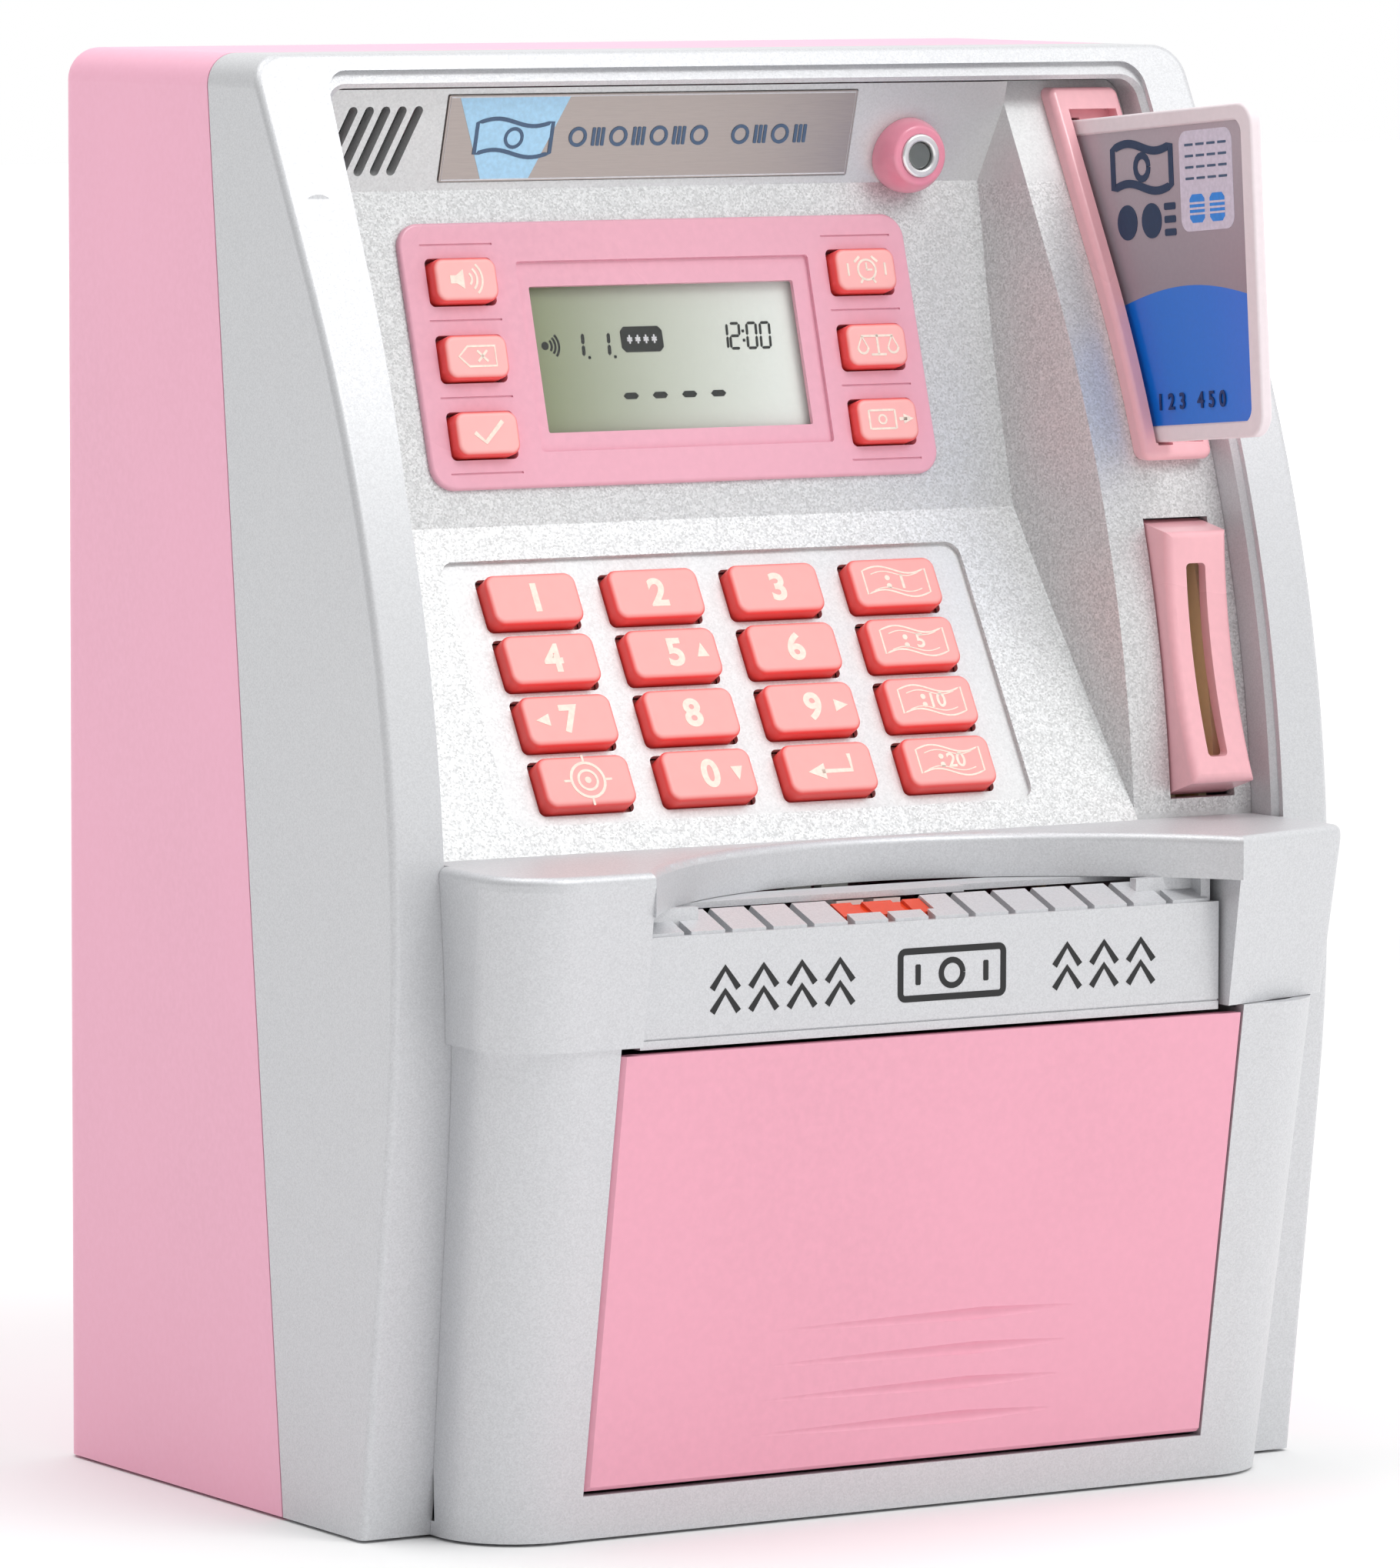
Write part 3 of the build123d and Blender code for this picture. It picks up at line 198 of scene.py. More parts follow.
def painted(name, grey, roughness, scale, contrast, depth, calm=None):
    """Silver paint over plastic: flakes under a satin coat, softened where calm's mask is 1."""
    s = Shader(name, roughness, 0.5, Coat_Weight=0.15, Coat_Roughness=0.3)
    flake = s.flakes(scale)
    cloud = s.noise(scale * 0.7, 2.0)
    broad = s.noise(9.0, 2.0)
    grain = s.add("ShaderNodeMath", {0: flake, 1: cloud}, operation="ADD").outputs[0]
    if calm:
        keep = s.span(calm(s), 1.0, 0.25)
        away = s.add("ShaderNodeMath", {0: grain, 1: 1.0}, operation="SUBTRACT").outputs[0]
        away = s.add("ShaderNodeMath", {0: away, 1: keep}, operation="MULTIPLY").outputs[0]
        grain = s.add("ShaderNodeMath", {0: away, 1: 1.0}, operation="ADD").outputs[0]
    shade = s.mix(s.span(grain, 0.0, 1.0, 0.35, 1.65), scaled(grey, 1 - contrast),
                  scaled(grey, 1 + contrast))
    tint = s.mix(s.span(broad, 0.0, 1.0, 0.35, 0.7), (0.97, 0.97, 0.98, 1), (1, 1, 1, 1))
    s.link(s.mix(1.0, shade, tint, "MULTIPLY"), "Base Color")
    s.link(s.span(flake, roughness + 0.08, roughness - 0.06), "Roughness")
    s.bump(grain, depth)
    return s.material


def smooth_zones(s):
    """Mask that is 1 on the header and in the keypad's recess, 0 on the textured faces."""
    out = leaning(KEYPAD_LEAN)[1]
    rise = s.add("ShaderNodeVectorMath", {0: s.place, 1: out}, operation="DOT_PRODUCT")
    level = reach(KEY_NODES, out)[1] - KEY_RISE * MM
    sunk = s.span(rise.outputs["Value"], 1.0, 0.0, level - 0.6 * MM, level - 0.3 * MM)
    height = s.add("ShaderNodeSeparateXYZ", {0: s.place}).outputs["Z"]
    header = s.span(height, 0.0, 1.0, HEADER_FOOT - 0.5 * MM, HEADER_FOOT + 0.5 * MM)
    return s.add("ShaderNodeMath", {0: sunk, 1: header}, operation="MAXIMUM").outputs[0]


def rubber_key(name, lean, top, side):
    """Soft key with painted light and shade: pale on top and deeper on its flanks by which way each
    face points, with a faint skin texture.
    """
    s = Shader(name, 0.42, Coat_Weight=0.12, Coat_Roughness=0.35)
    out = leaning(lean)[1]
    normal = s.add("ShaderNodeNewGeometry").outputs["Normal"]
    facing = s.add("ShaderNodeVectorMath", {0: normal, 1: out}, operation="DOT_PRODUCT")
    # painted light and shade: faces turned out of the panel take the pale top colour, faces turned
    # aside take the deeper flank colour
    upper = s.span(facing.outputs["Value"], 0.0, 1.0, 0.55, 0.98)
    skin = s.noise(420, 3.0)
    shade = s.mix(upper, side, top)
    # a slightly darker copy of the same painted light and shade, blended in by the skin noise
    dimmer_painted_shading = s.mix(upper, side, scaled(top, 0.94))
    s.link(s.mix(s.span(skin, 0.0, 0.5, 0.4, 0.75), shade, dimmer_painted_shading), "Base Color")
    s.bump(skin, 0.000012)
    return s.material


def brushed(name, colour, stretch, roughness=0.34, scale=260, contrast=0.12):
    """Metal brushed along one direction."""
    s = Shader(name, roughness, 0.85)
    lines = s.noise(scale, 4.0, stretch)
    s.link(s.mix(s.span(lines, 0.0, 1.0, 0.3, 0.7), scaled(colour, 1 - contrast),
                 scaled(colour, 1 + contrast)), "Base Color")
    s.link(s.span(lines, roughness - 0.06, roughness + 0.1, 0.3, 0.7), "Roughness")
    s.bump(lines, 0.00001)
    return s.material


def printed(name, colour, roughness=0.45, **sockets):
    """Ink or thin raised print, with a little unevenness."""
    s = Shader(name, roughness, **sockets)
    ink = s.noise(1300, 2.0)
    s.link(s.mix(s.span(ink, 0.0, 1.0, 0.35, 0.7), scaled(colour, 0.88), colour), "Base Color")
    s.bump(ink, 0.000004)
    return s.material


def graded(name, first, second, axis, start, stop, roughness=0.3, speckle=0.04):
    """A colour that fades from first to second along one axis, with a fine speckle."""
    s = Shader(name, roughness, Coat_Weight=0.3, Coat_Roughness=0.12)
    along = s.add("ShaderNodeSeparateXYZ", {0: s.place}).outputs[axis]
    fade = s.mix(s.span(along, 0.0, 1.0, start, stop), first, second)
    fine = s.noise(1500, 2.0)
    white = (1, 1, 1, 1)
    grain = s.mix(s.span(fine, 0.0, 1.0, 0.35, 0.7), scaled(white, 1 - speckle), white)
    s.link(s.mix(1.0, fade, grain, "MULTIPLY"), "Base Color")
    s.bump(fine, 0.000003)
    return s.material


def clear(name, tint, alpha):
    """Thin clear plastic."""
    s = Shader(name, 0.04, Alpha=alpha, IOR=1.46, Specular_IOR_Level=0.2)
    haze = s.noise(60, 2.0)
    s.link(s.mix(s.span(haze, 0.0, 1.0, 0.3, 0.7), scaled(tint, 0.93), tint), "Base Color")
    return s.material


SILVER = painted("silver_paint", rgb(214, 215, 217), 0.46, 4200, 0.07, 0.000008)
SPARKLE = painted("silver_sparkle", rgb(216, 217, 217), 0.44, 3300, 0.26, 0.000022, smooth_zones)
DOOR = moulded("door_pink", rgb(242, 171, 191), 0.36, Coat_Weight=0.1)
SHELL = moulded("shell_pink", rgb(255, 186, 210), 0.40, scale=900, depth=0.000014)
BEZEL = moulded("bezel_pink", rgb(238, 174, 192), 0.28, Coat_Weight=0.25)
TRIM = moulded("trim_pink", rgb(246, 184, 192), 0.25, Coat_Weight=0.35)
# keys and buttons: the pale top colour is painted light and the deep coral flank colour is painted
# shade
KEYS = rubber_key("key_coral", KEYPAD_LEAN, rgb(255, 171, 167), rgb(250, 84, 80))
BUTTONS = rubber_key("button_coral", DISPLAY_LEAN, rgb(255, 184, 181), rgb(250, 84, 80))
PLATE = brushed("brushed_plate", rgb(175, 165, 161), (1, 30, 30), contrast=0.06)
CHROME = brushed("chrome_trim", rgb(240, 240, 241), (1, 1, 1), 0.3, contrast=0.04)
STEEL = brushed("plated_steel", rgb(178, 180, 184), (1, 12, 1))
LENS = moulded("lens_grey", rgb(104, 110, 108), 0.12, Coat_Weight=0.8)
DOME = moulded("camera_pink", rgb(240, 150, 172), 0.24, Coat_Weight=0.4)
BLACK = moulded("speaker_black", rgb(26, 26, 26), 0.7)
WINDOW = clear("window_clear", rgb(235, 240, 236), 0.04)
# painted shade: the display is painted darker and more olive towards its left and lighter to the right
SHADED_GLASS = graded("display_glass_painted_shade", rgb(122, 131, 88), rgb(234, 238, 232), "X", -0.038, 0.012)
BOARD = moulded("board_green", rgb(30, 96, 58), 0.45)
CARD_RIM = moulded("card_rim", rgb(242, 229, 233), 0.38)
TAN = moulded("chute_tan", rgb(250, 226, 184), 0.55)
WHITE = moulded("white_plastic", rgb(240, 240, 236), 0.4)
ORANGE = moulded("sensor_orange", rgb(226, 66, 24), 0.25, Coat_Weight=0.4)
RUBBER = moulded("roller_rubber", rgb(28, 28, 28), 0.75, depth=0.00004)
WRAP = brushed("cell_wrap", rgb(44, 52, 60), (1, 1, 8), 0.3)
COPPER = brushed("coil_copper", rgb(184, 110, 60), (1, 1, 30), 0.35)
VAULT = moulded("vault_grey", rgb(120, 121, 124), 0.5)
INK = printed("ink_black", rgb(24, 24, 26))
LEGEND = printed("legend_white", rgb(255, 236, 222))
SEGMENT = printed("segment_dark", rgb(5, 6, 6), 0.6, Specular_IOR_Level=0.05)
NAVY = printed("ink_blue_grey", rgb(74, 98, 128))
SKY = printed("ink_sky", rgb(176, 222, 252), 0.35)
LIGHT_GREY = printed("ink_pale", rgb(222, 222, 226))
CARD_BLUE = graded("card_blue", rgb(20, 118, 226), rgb(28, 122, 230), "Y", -0.030, -0.056)
CARD_MAUVE = graded("card_mauve", rgb(158, 145, 155), rgb(188, 174, 182), "Z", 0.2, 0.23)
CARD_PALE = printed("card_pale", rgb(226, 216, 232))
CARD_BRIGHT = printed("card_bright", rgb(52, 148, 240), 0.3)
CARD_NAVY = printed("ink_navy", rgb(30, 58, 92))
CARD_DEEP_BLUE = printed("ink_deep_blue", rgb(12, 52, 112))

FINISHES = {
    SILVER: ["front_frame", "shelf", "lower_front", "bill_guide", "bill_tray"],
    SPARKLE: ["console_panel"],
    DOOR: ["vault_door"],
    SHELL: ["rear_cover", "battery_cover"],
    BEZEL: ["lcd_bezel"],
    TRIM: ["card_bezel", "coin_bezel"],
    DOME: ["camera_housing"],
    PLATE: ["nameplate"],
    CHROME: ["camera_ring"],
    STEEL: ["screws", "battery_contacts", "pinch_roller", "feed_motor"],
    LENS: ["camera_lens"],
    BLACK: ["speaker"],
    WINDOW: ["lcd_window"],
    SHADED_GLASS: ["lcd_module"],
    BOARD: ["display_board", "keypad_board"],
    CARD_RIM: ["card"],
    TAN: ["coin_chute"],
    WHITE: ["coin_lever_upper", "coin_lever_lower", "bill_lever", "feed_shaft", "motor_pinion",
            "door_latch"],
    ORANGE: ["bill_sensor"],
    RUBBER: ["feed_tyres"],
    WRAP: ["battery_cells"],
    COPPER: ["latch_coil"],
    VAULT: ["vault_box"],
    KEYS: KEY_NODES,
    BUTTONS: BUTTON_NODES,
}
for finish, names in FINISHES.items():
    for node_name in names:
        slots = NODES[node_name].data.materials
        slots.clear()
        slots.append(finish)


# ---------------------------------------------------------------- thin raised pieces

class Piece:
    """Flat shapes in a local frame, raised between the levels low and high, in millimetres."""

    def __init__(self, place, low, high):
        self.place = place
        self.low = low
        self.high = high
        self.mesh = bmesh.new()

    def shape(self, points):
        """One outline of (u, v) points as a thin prism."""
        base = [self.mesh.verts.new(self.place @ Vector((u, v, self.low))) for u, v in points]
        top = [self.mesh.verts.new(self.place @ Vector((u, v, self.high))) for u, v in points]
        self.mesh.faces.new(top)
        self.mesh.faces.new(base[::-1])
        for i, corner in enumerate(base):
            j = (i + 1) % len(base)
            self.mesh.faces.new((corner, base[j], top[j], top[i]))
        return self

    def bar(self, u, v, width, height, turn=0.0):
        """A rectangle with small cut corners."""
        c, s = math.cos(math.radians(turn)), math.sin(math.radians(turn))
        a, b = width / 2, height / 2
        k = min(a, b) * 0.35
        corners = [(-a + k, -b), (a - k, -b), (a, -b + k), (a, b - k), (a - k, b), (-a + k, b),
                   (-a, b - k), (-a, -b + k)]
        return self.shape([(u + x * c - y * s, v + x * s + y * c) for x, y in corners])

    def disc(self, u, v, radius, count=28, squash=1.0):
        """A round or oval spot."""
        return self.shape([(u + radius * math.cos(2 * math.pi * i / count),
                            v + radius * squash * math.sin(2 * math.pi * i / count))
                           for i in range(count)])

    def line(self, points, width, closed=False):
        """A stroke of even width along (u, v) points."""
        pts = [Vector(p) for p in points]
        count = len(pts)
        left, right = [], []
        for i, point in enumerate(pts):
            before = pts[i - 1] if i or closed else point
            after = pts[(i + 1) % count] if i < count - 1 or closed else point
            way = (after - before).normalized()
            side = Vector((-way.y, way.x)) * width / 2
            left.append(point + side)
            right.append(point - side)
        last = count if closed else count - 1
        for i in range(last):
            j = (i + 1) % count
            self.shape([right[i], right[j], left[j], left[i]])
        return self

    def arc(self, u, v, radius, width, start, stop, count=16):
        """A stroke along part of a circle, in degrees."""
        angles = [math.radians(start + (stop - start) * i / count) for i in range(count + 1)]
        return self.line([(u + radius * math.cos(a), v + radius * math.sin(a)) for a in angles],
                         width)

    def number(self, text, u, v, height, weight=0.02, way=1):
        """Numerals of a given height, centred on (u, v); way -1 turns them upside down."""
        curve = bpy.data.curves.new("numerals", "FONT")
        curve.body = text
        curve.offset = weight
        curve.extrude = 0.01
        holder = bpy.data.objects.new("numerals", curve)
        SCENE.collection.objects.link(holder)
        graph = bpy.context.evaluated_depsgraph_get()
        glyphs = bpy.data.meshes.new_from_object(holder.evaluated_get(graph))
        xs = [p.co.x for p in glyphs.vertices]
        ys = [p.co.y for p in glyphs.vertices]
        zs = [p.co.z for p in glyphs.vertices]
        gain = height / (max(ys) - min(ys))
        middle = ((max(xs) + min(xs)) / 2, (max(ys) + min(ys)) / 2)
        rise = (self.high - self.low) / (max(zs) - min(zs))
        for p in glyphs.vertices:
            p.co = self.place @ Vector((u + way * (p.co.x - middle[0]) * gain,
                                        v + way * (p.co.y - middle[1]) * gain,
                                        self.low + (p.co.z - min(zs)) * rise))
        self.mesh.from_mesh(glyphs)
        bpy.data.objects.remove(holder)
        bpy.data.curves.remove(curve)
        bpy.data.meshes.remove(glyphs)
        return self

    def finish(self, name, finish, body, slot):
        """Turn the shapes into a piece that rides on a body."""
        bmesh.ops.recalc_face_normals(self.mesh, faces=self.mesh.faces)
        data = bpy.data.meshes.new(name)
        self.mesh.to_mesh(data)
        self.mesh.free()
        data.materials.append(finish)
        piece = bpy.data.objects.new(name, data)
        SCENE.collection.objects.link(piece)
        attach(piece, body)
        return piece


def triangle(piece, u, v, size, turn):
    """A small arrow head that points along turn degrees."""
    points = []
    for angle in (0, 132, 228):
        a = math.radians(turn + angle)
        points.append((u + size * math.cos(a), v + size * math.sin(a)))
    return piece.shape(points)


NOTE_STEPS = 18


def note_outline(u, v, width, height, wave):
    """The outline of a banknote that waves: its lower edge, then its upper edge back."""
    upper, lower = [], []
    for i in range(NOTE_STEPS + 1):
        x = -width / 2 + width * i / NOTE_STEPS
        lift = wave * math.sin(2 * math.pi * i / NOTE_STEPS)
        upper.append((u + x, v + height / 2 + lift))
        lower.append((u + x, v - height / 2 + lift))
    return lower + upper[::-1]


def rounded(u0, u1, v0, v1, radius):
    """Outline of a rectangle with round corners."""
    points = []
    for cu, cv, start in ((u1 - radius, v1 - radius, 0), (u0 + radius, v1 - radius, 90),
                          (u0 + radius, v0 + radius, 180), (u1 - radius, v0 + radius, 270)):
        for step in range(7):
            a = math.radians(start + 15 * step)
            points.append((cu + radius * math.cos(a), cv + radius * math.sin(a)))
    return points


# ---------------------------------------------------------------- legends on the keys

PRINT_SINK, PRINT_RISE = 0.05, 0.06
NUMERAL_HEIGHT, NUMERAL_WEIGHT = 5.2, 0.035
KEY_ARROWS = {"5": (5.2, 0, 90), "7": (-5.0, 0, 180), "9": (5.2, 0, 0), "0": (5.2, 0, -90)}


def legend_on(node, lean):
    """An empty legend in the middle of the top of a key."""
    return Piece(face(lean, node), -PRINT_SINK, PRINT_RISE)


def number_legends():
    """Numerals, four of them with a small arrow beside them."""
    for digit in "1234567890":
        legend = legend_on(f"key_{digit}", KEYPAD_LEAN)
        if digit == "6":
            # A thickened 6 breaks up in this font, so a 9 is turned round instead.
            legend.number("9", 0, 0, NUMERAL_HEIGHT, NUMERAL_WEIGHT, -1)
        else:
            legend.number(digit, 0, 0, NUMERAL_HEIGHT, NUMERAL_WEIGHT)
        if digit in KEY_ARROWS:
            u, v, turn = KEY_ARROWS[digit]
            triangle(legend, u, v, 1.55, turn)
        legend.finish(f"legend_key_{digit}", LEGEND, f"key_body_{digit}", "white_plastic")


def note_legends():
    """Waving banknotes, each with its value."""
    for value in ("20", "10", "5", "1"):
        legend = legend_on(f"key_note_{value}", KEYPAD_LEAN)
        legend.line(note_outline(0, 0, 12.4, 4.4, 0.75), 0.32, closed=True)
        inner = note_outline(0, 0, 9.4, 3.0, 0.5)
        legend.line(inner[:NOTE_STEPS + 1], 0.2)
        legend.line(inner[NOTE_STEPS + 1:], 0.2)
        legend.number(value, 1.2, 0, 2.7)
        legend.disc(-1.6, 0.75, 0.5, 14)
        legend.disc(-1.6, -0.75, 0.5, 14)
        legend.finish(f"legend_key_note_{value}", LEGEND, f"key_body_note_{value}", "white_plastic")


def target_legend():
    """Two rings, a spot and four short bars."""
    target = legend_on("key_target", KEYPAD_LEAN)
    target.arc(0, 0, 3.1, 0.5, 0, 360, 36).arc(0, 0, 1.75, 0.45, 0, 360, 28).disc(0, 0, 0.6, 16)
    for turn in range(0, 360, 90):
        a = math.radians(turn)
        target.bar(3.9 * math.cos(a), 3.9 * math.sin(a), 1.3, 0.42, turn)
    target.finish("legend_key_target", LEGEND, "key_body_target", "white_plastic")


def enter_legend():
    """An arrow that comes down and turns to the left."""
    enter = legend_on("key_enter", KEYPAD_LEAN)
    enter.line([(3.9, 2.2), (3.9, -0.8), (-2.0, -0.8)], 0.75)
    triangle(enter, -2.7, -0.8, 2.0, 180)
    enter.finish("legend_key_enter", LEGEND, "key_body_enter", "white_plastic")


def sound_icon(icon):
    """A loudspeaker with three waves."""
    icon.shape([(-3.2, -0.7), (-2.0, -0.7), (-0.6, -1.7), (-0.6, 1.7), (-2.0, 0.7), (-3.2, 0.7)])
    for radius in (1.3, 2.3, 3.3):
        icon.arc(-0.4, 0, radius, 0.4, -48, 48, 10)


def clear_icon(icon):
    """A delete mark: a pointed box with a cross in it."""
    icon.line([(-3.6, 0), (-1.8, 1.7), (3.4, 1.7), (3.4, -1.7), (-1.8, -1.7)], 0.4, closed=True)
    icon.bar(0.9, 0, 2.7, 0.42, 45).bar(0.9, 0, 2.7, 0.42, -45)


def set_icon(icon):
    """A tick."""
    icon.line([(-2.6, 0.1), (-0.7, -1.6), (2.9, 1.9)], 0.75)


def alarm_icon(icon):
    """An alarm clock with its hands, bells, feet and two ringing marks."""
    icon.arc(0, -0.1, 1.75, 0.4, 0, 360, 28)
    icon.bar(0, 0.5, 0.35, 1.3).bar(0.5, -0.1, 1.2, 0.35)
    icon.bar(-1.75, 1.75, 1.5, 0.45, 40).bar(1.75, 1.75, 1.5, 0.45, -40)
    icon.bar(-1.2, -2.0, 1.0, 0.4, 55).bar(1.2, -2.0, 1.0, 0.4, -55)
    icon.bar(-3.7, 0, 0.4, 2.2).bar(3.7, 0, 0.4, 2.2)


def balance_icon(icon):
    """A pair of scales."""
    icon.bar(0, -1.75, 3.0, 0.42).bar(0, 0, 0.42, 3.6).bar(0, 1.5, 6.4, 0.4)
    for side in (-1, 1):
        icon.line([(side * 3.0, 1.5), (side * 4.0, -0.5)], 0.28)
        icon.line([(side * 3.0, 1.5), (side * 2.0, -0.5)], 0.28)
        icon.arc(side * 3.0, -0.5, 1.0, 0.42, 180, 360, 10)


def withdraw_icon(icon):
    """A banknote with an arrow that leaves it."""
    icon.line(note_outline(-1.2, 0, 5.2, 3.2, 0.0), 0.38, closed=True)
    icon.arc(-1.2, 0, 0.75, 0.35, 0, 360, 16)
    icon.bar(2.9, 0, 1.6, 0.6)
    triangle(icon, 3.8, 0, 1.2, 0)


FUNCTION_ICONS = {"sound": sound_icon, "clear": clear_icon, "set": set_icon, "alarm": alarm_icon,
                  "balance": balance_icon, "withdraw": withdraw_icon}


def function_legends():
    """Icons on the keys beside the display."""
    for name, draw in FUNCTION_ICONS.items():
        icon = legend_on(f"button_{name}", DISPLAY_LEAN)
        draw(icon)
        icon.finish(f"legend_{name}", LEGEND, f"button_body_{name}", "white_plastic")


number_legends()
note_legends()
target_legend()
enter_legend()
function_legends()


# ---------------------------------------------------------------- what the display shows

SEGMENTS = {"0": "abcdef", "1": "bc", "2": "abged"}
SEGMENT_SLANT = 0.06
SEGMENT_GAP = 0.12
SCREEN_WIDTH, SCREEN_HEIGHT = 51.7, 25.0
CODE_BOX = (0.418, 0.362)


def segment_bar(piece, u, v, length, thick, upright, slant):
    """One hexagonal display segment."""
    a, t = length / 2, thick / 2
    points = [(-a, 0), (-a + t, -t), (a - t, -t), (a, 0), (a - t, t), (-a + t, t)]
    if upright:
        points = [(y, x) for x, y in points]
    piece.shape([(u + x + slant * y, v + y) for x, y in points])


def seven_segment(piece, digit, u, v, width, height, thick):
    """A digit made of display segments."""
    w, h = width / 2, height / 4
    places = {"a": (0, 2 * h, False), "g": (0, 0, False), "d": (0, -2 * h, False),
              "b": (w, h, True), "c": (w, -h, True), "e": (-w, -h, True), "f": (-w, h, True)}
    for letter in SEGMENTS[digit]:
        x, y, upright = places[letter]
        length = (2 * h if upright else width) - SEGMENT_GAP
        segment_bar(piece, u + x + SEGMENT_SLANT * y, v + y, length, thick, upright, SEGMENT_SLANT)


def screen_point(across, down):
    """Local (u, v) of a point given as fractions of the visible screen."""
    return SCREEN_WIDTH * (across - 0.5), SCREEN_HEIGHT * (0.5 - down)


def display_segments():
    """Dark segments: a sound mark, two ones, a code box, a time and four dashes."""
    shown = Piece(SCREEN, -0.02, 0.06)
    u, v = screen_point(0.05, 0.39)
    shown.disc(u + 0.1, v, 0.7, 18)
    for radius in (1.3, 2.0, 2.7):
        shown.arc(u + 0.1, v, radius, 0.4, -42, 42, 10)
    for across in (0.195, 0.292):
        u, v = screen_point(across, 0.39)
        seven_segment(shown, "1", u - 0.9, v, 1.8, 4.0, 0.62)
        shown.bar(u + 0.9, v - 2.2, 0.5, 0.5)
    u, v = screen_point(*CODE_BOX)
    shown.bar(u, v, 8.2, 4.4)
    u, v = screen_point(0.813, 0.358)
    for digit, shift in (("1", -4.5), ("2", -2.1), ("0", 1.25), ("0", 3.9)):
        seven_segment(shown, digit, u + shift, v, 1.8, 4.3, 0.46)
    shown.bar(u - 0.42, v + 0.8, 0.5, 0.5).bar(u - 0.42, v - 0.8, 0.5, 0.5)
    for across in (0.348, 0.458, 0.569, 0.679):
        u, v = screen_point(across, 0.749)
        segment_bar(shown, u, v, 3.0, 1.1, False, 0.0)
    shown.finish("display_segments", SEGMENT, "case", "display_grey")


def code_marks():
    """Four pale stars on the code box."""
    marks = Piece(SCREEN, 0.05, 0.09)
    u, v = screen_point(*CODE_BOX)
    for shift in (-2.4, -0.8, 0.8, 2.4):
        marks.bar(u + shift, v, 0.3, 1.5)
        marks.bar(u + shift, v, 1.1, 0.3, 30).bar(u + shift, v, 1.1, 0.3, -30)
    marks.finish("display_code_marks", LIGHT_GREY, "case", "display_grey")


display_segments()
code_marks()


# ---------------------------------------------------------------- nameplate, in generic pictures

def nameplate_wedge():
    """A pale blue wedge behind the banknote."""
    wedge = Piece(HEADER, -0.03, 0.05)
    wedge.shape([(-32.0, -7.1), (-22.8, -7.1), (-16.6, 7.1), (-37.8, 7.1)])
    wedge.finish("nameplate_wedge", SKY, "case", "brushed_plate")


def nameplate_pictures():
    """A banknote and two rows of rings and bars."""
    picture = Piece(HEADER, -0.01, 0.11)
    picture.line(note_outline(-26.6, 0.0, 14.5, 5.4, 0.7), 0.7, closed=True)
    picture.arc(-26.6, 0.0, 1.6, 0.6, 0, 360, 24)
    for start, count in ((-14.2, 7), (17.6, 4)):
        for index in range(count):
            u = start + 3.95 * index
            if index % 2:
                picture.bar(u, 0, 0.62, 3.2).bar(u - 0.9, 0, 0.62, 3.2).bar(u + 0.9, 0, 0.62, 3.2)
            else:
                picture.arc(u, 0, 1.45, 0.6, 0, 360, 24)
    picture.finish("nameplate_pictures", NAVY, "case", "brushed_plate")


def nameplate_border():
    """A thin pale line round the printed part of the plate."""
    border = Piece(HEADER, -0.03, 0.06)
    border.line([(-39.5, -7.15), (39.5, -7.15), (39.5, 7.15), (-39.5, 7.15)], 0.22, closed=True)
    border.finish("nameplate_border", LIGHT_GREY, "case", "brushed_plate")


nameplate_wedge()
nameplate_pictures()
nameplate_border()


# ---------------------------------------------------------------- printed side of the card

FIELD_START, FIELD_END = -38.0, 39.4
FIELD_EDGE = 25.2
FIELD_STEPS = 40


def card_boundary(u):
    """Height of the curved edge between the two printed fields."""
    return -6.0 + 4.2 * math.sin(math.pi * (u + 4.0) / 52.0)


def card_field(edge):
    """Outline of the printed field between the curved edge and a straight one."""
    width = FIELD_END - FIELD_START
    steps = [FIELD_START + width * i / FIELD_STEPS for i in range(FIELD_STEPS + 1)]
    return [(u, card_boundary(u)) for u in steps] + [(FIELD_END, edge), (FIELD_START, edge)]


def card_fields():
    """A grey-mauve field above and a blue one below."""
    upper = Piece(CARD, 0.74, 0.80).shape(card_field(FIELD_EDGE))
    upper.finish("card_upper_field", CARD_MAUVE, "card", "card_plastic")
    lower = Piece(CARD, 0.74, 0.80).shape(card_field(-FIELD_EDGE))
    lower.finish("card_lower_field", CARD_BLUE, "card", "card_plastic")


def card_panel():
    """A pale panel with rows of dashes and a striped mark."""
    panel = Piece(CARD, 0.79, 0.86).shape(rounded(20.8, 36.6, 7.2, 24.2, 2.2))
    panel.finish("card_panel", CARD_PALE, "card", "card_plastic")
    lines = Piece(CARD, 0.85, 0.90)
    for row in range(4):
        for column in range(4):
            lines.bar(23.8 + 3.3 * column, 21.8 - 1.9 * row, 2.5, 0.42)
    lines.finish("card_panel_lines", NAVY, "card", "card_plastic")
    mark = Piece(CARD, 0.85, 0.91)
    for side in (-1, 1):
        mark.bar(28.7 + side * 3.0, 11.0, 4.4, 4.8)
    mark.finish("card_panel_mark", CARD_BRIGHT, "card", "card_plastic")
    stripes = Piece(CARD, 0.90, 0.94)
    for shift in (-0.9, 0.0, 0.9):
        stripes.bar(28.7, 11.0 + shift, 10.8, 0.36)
    stripes.finish("card_mark_stripes", CARD_PALE, "card", "card_plastic")


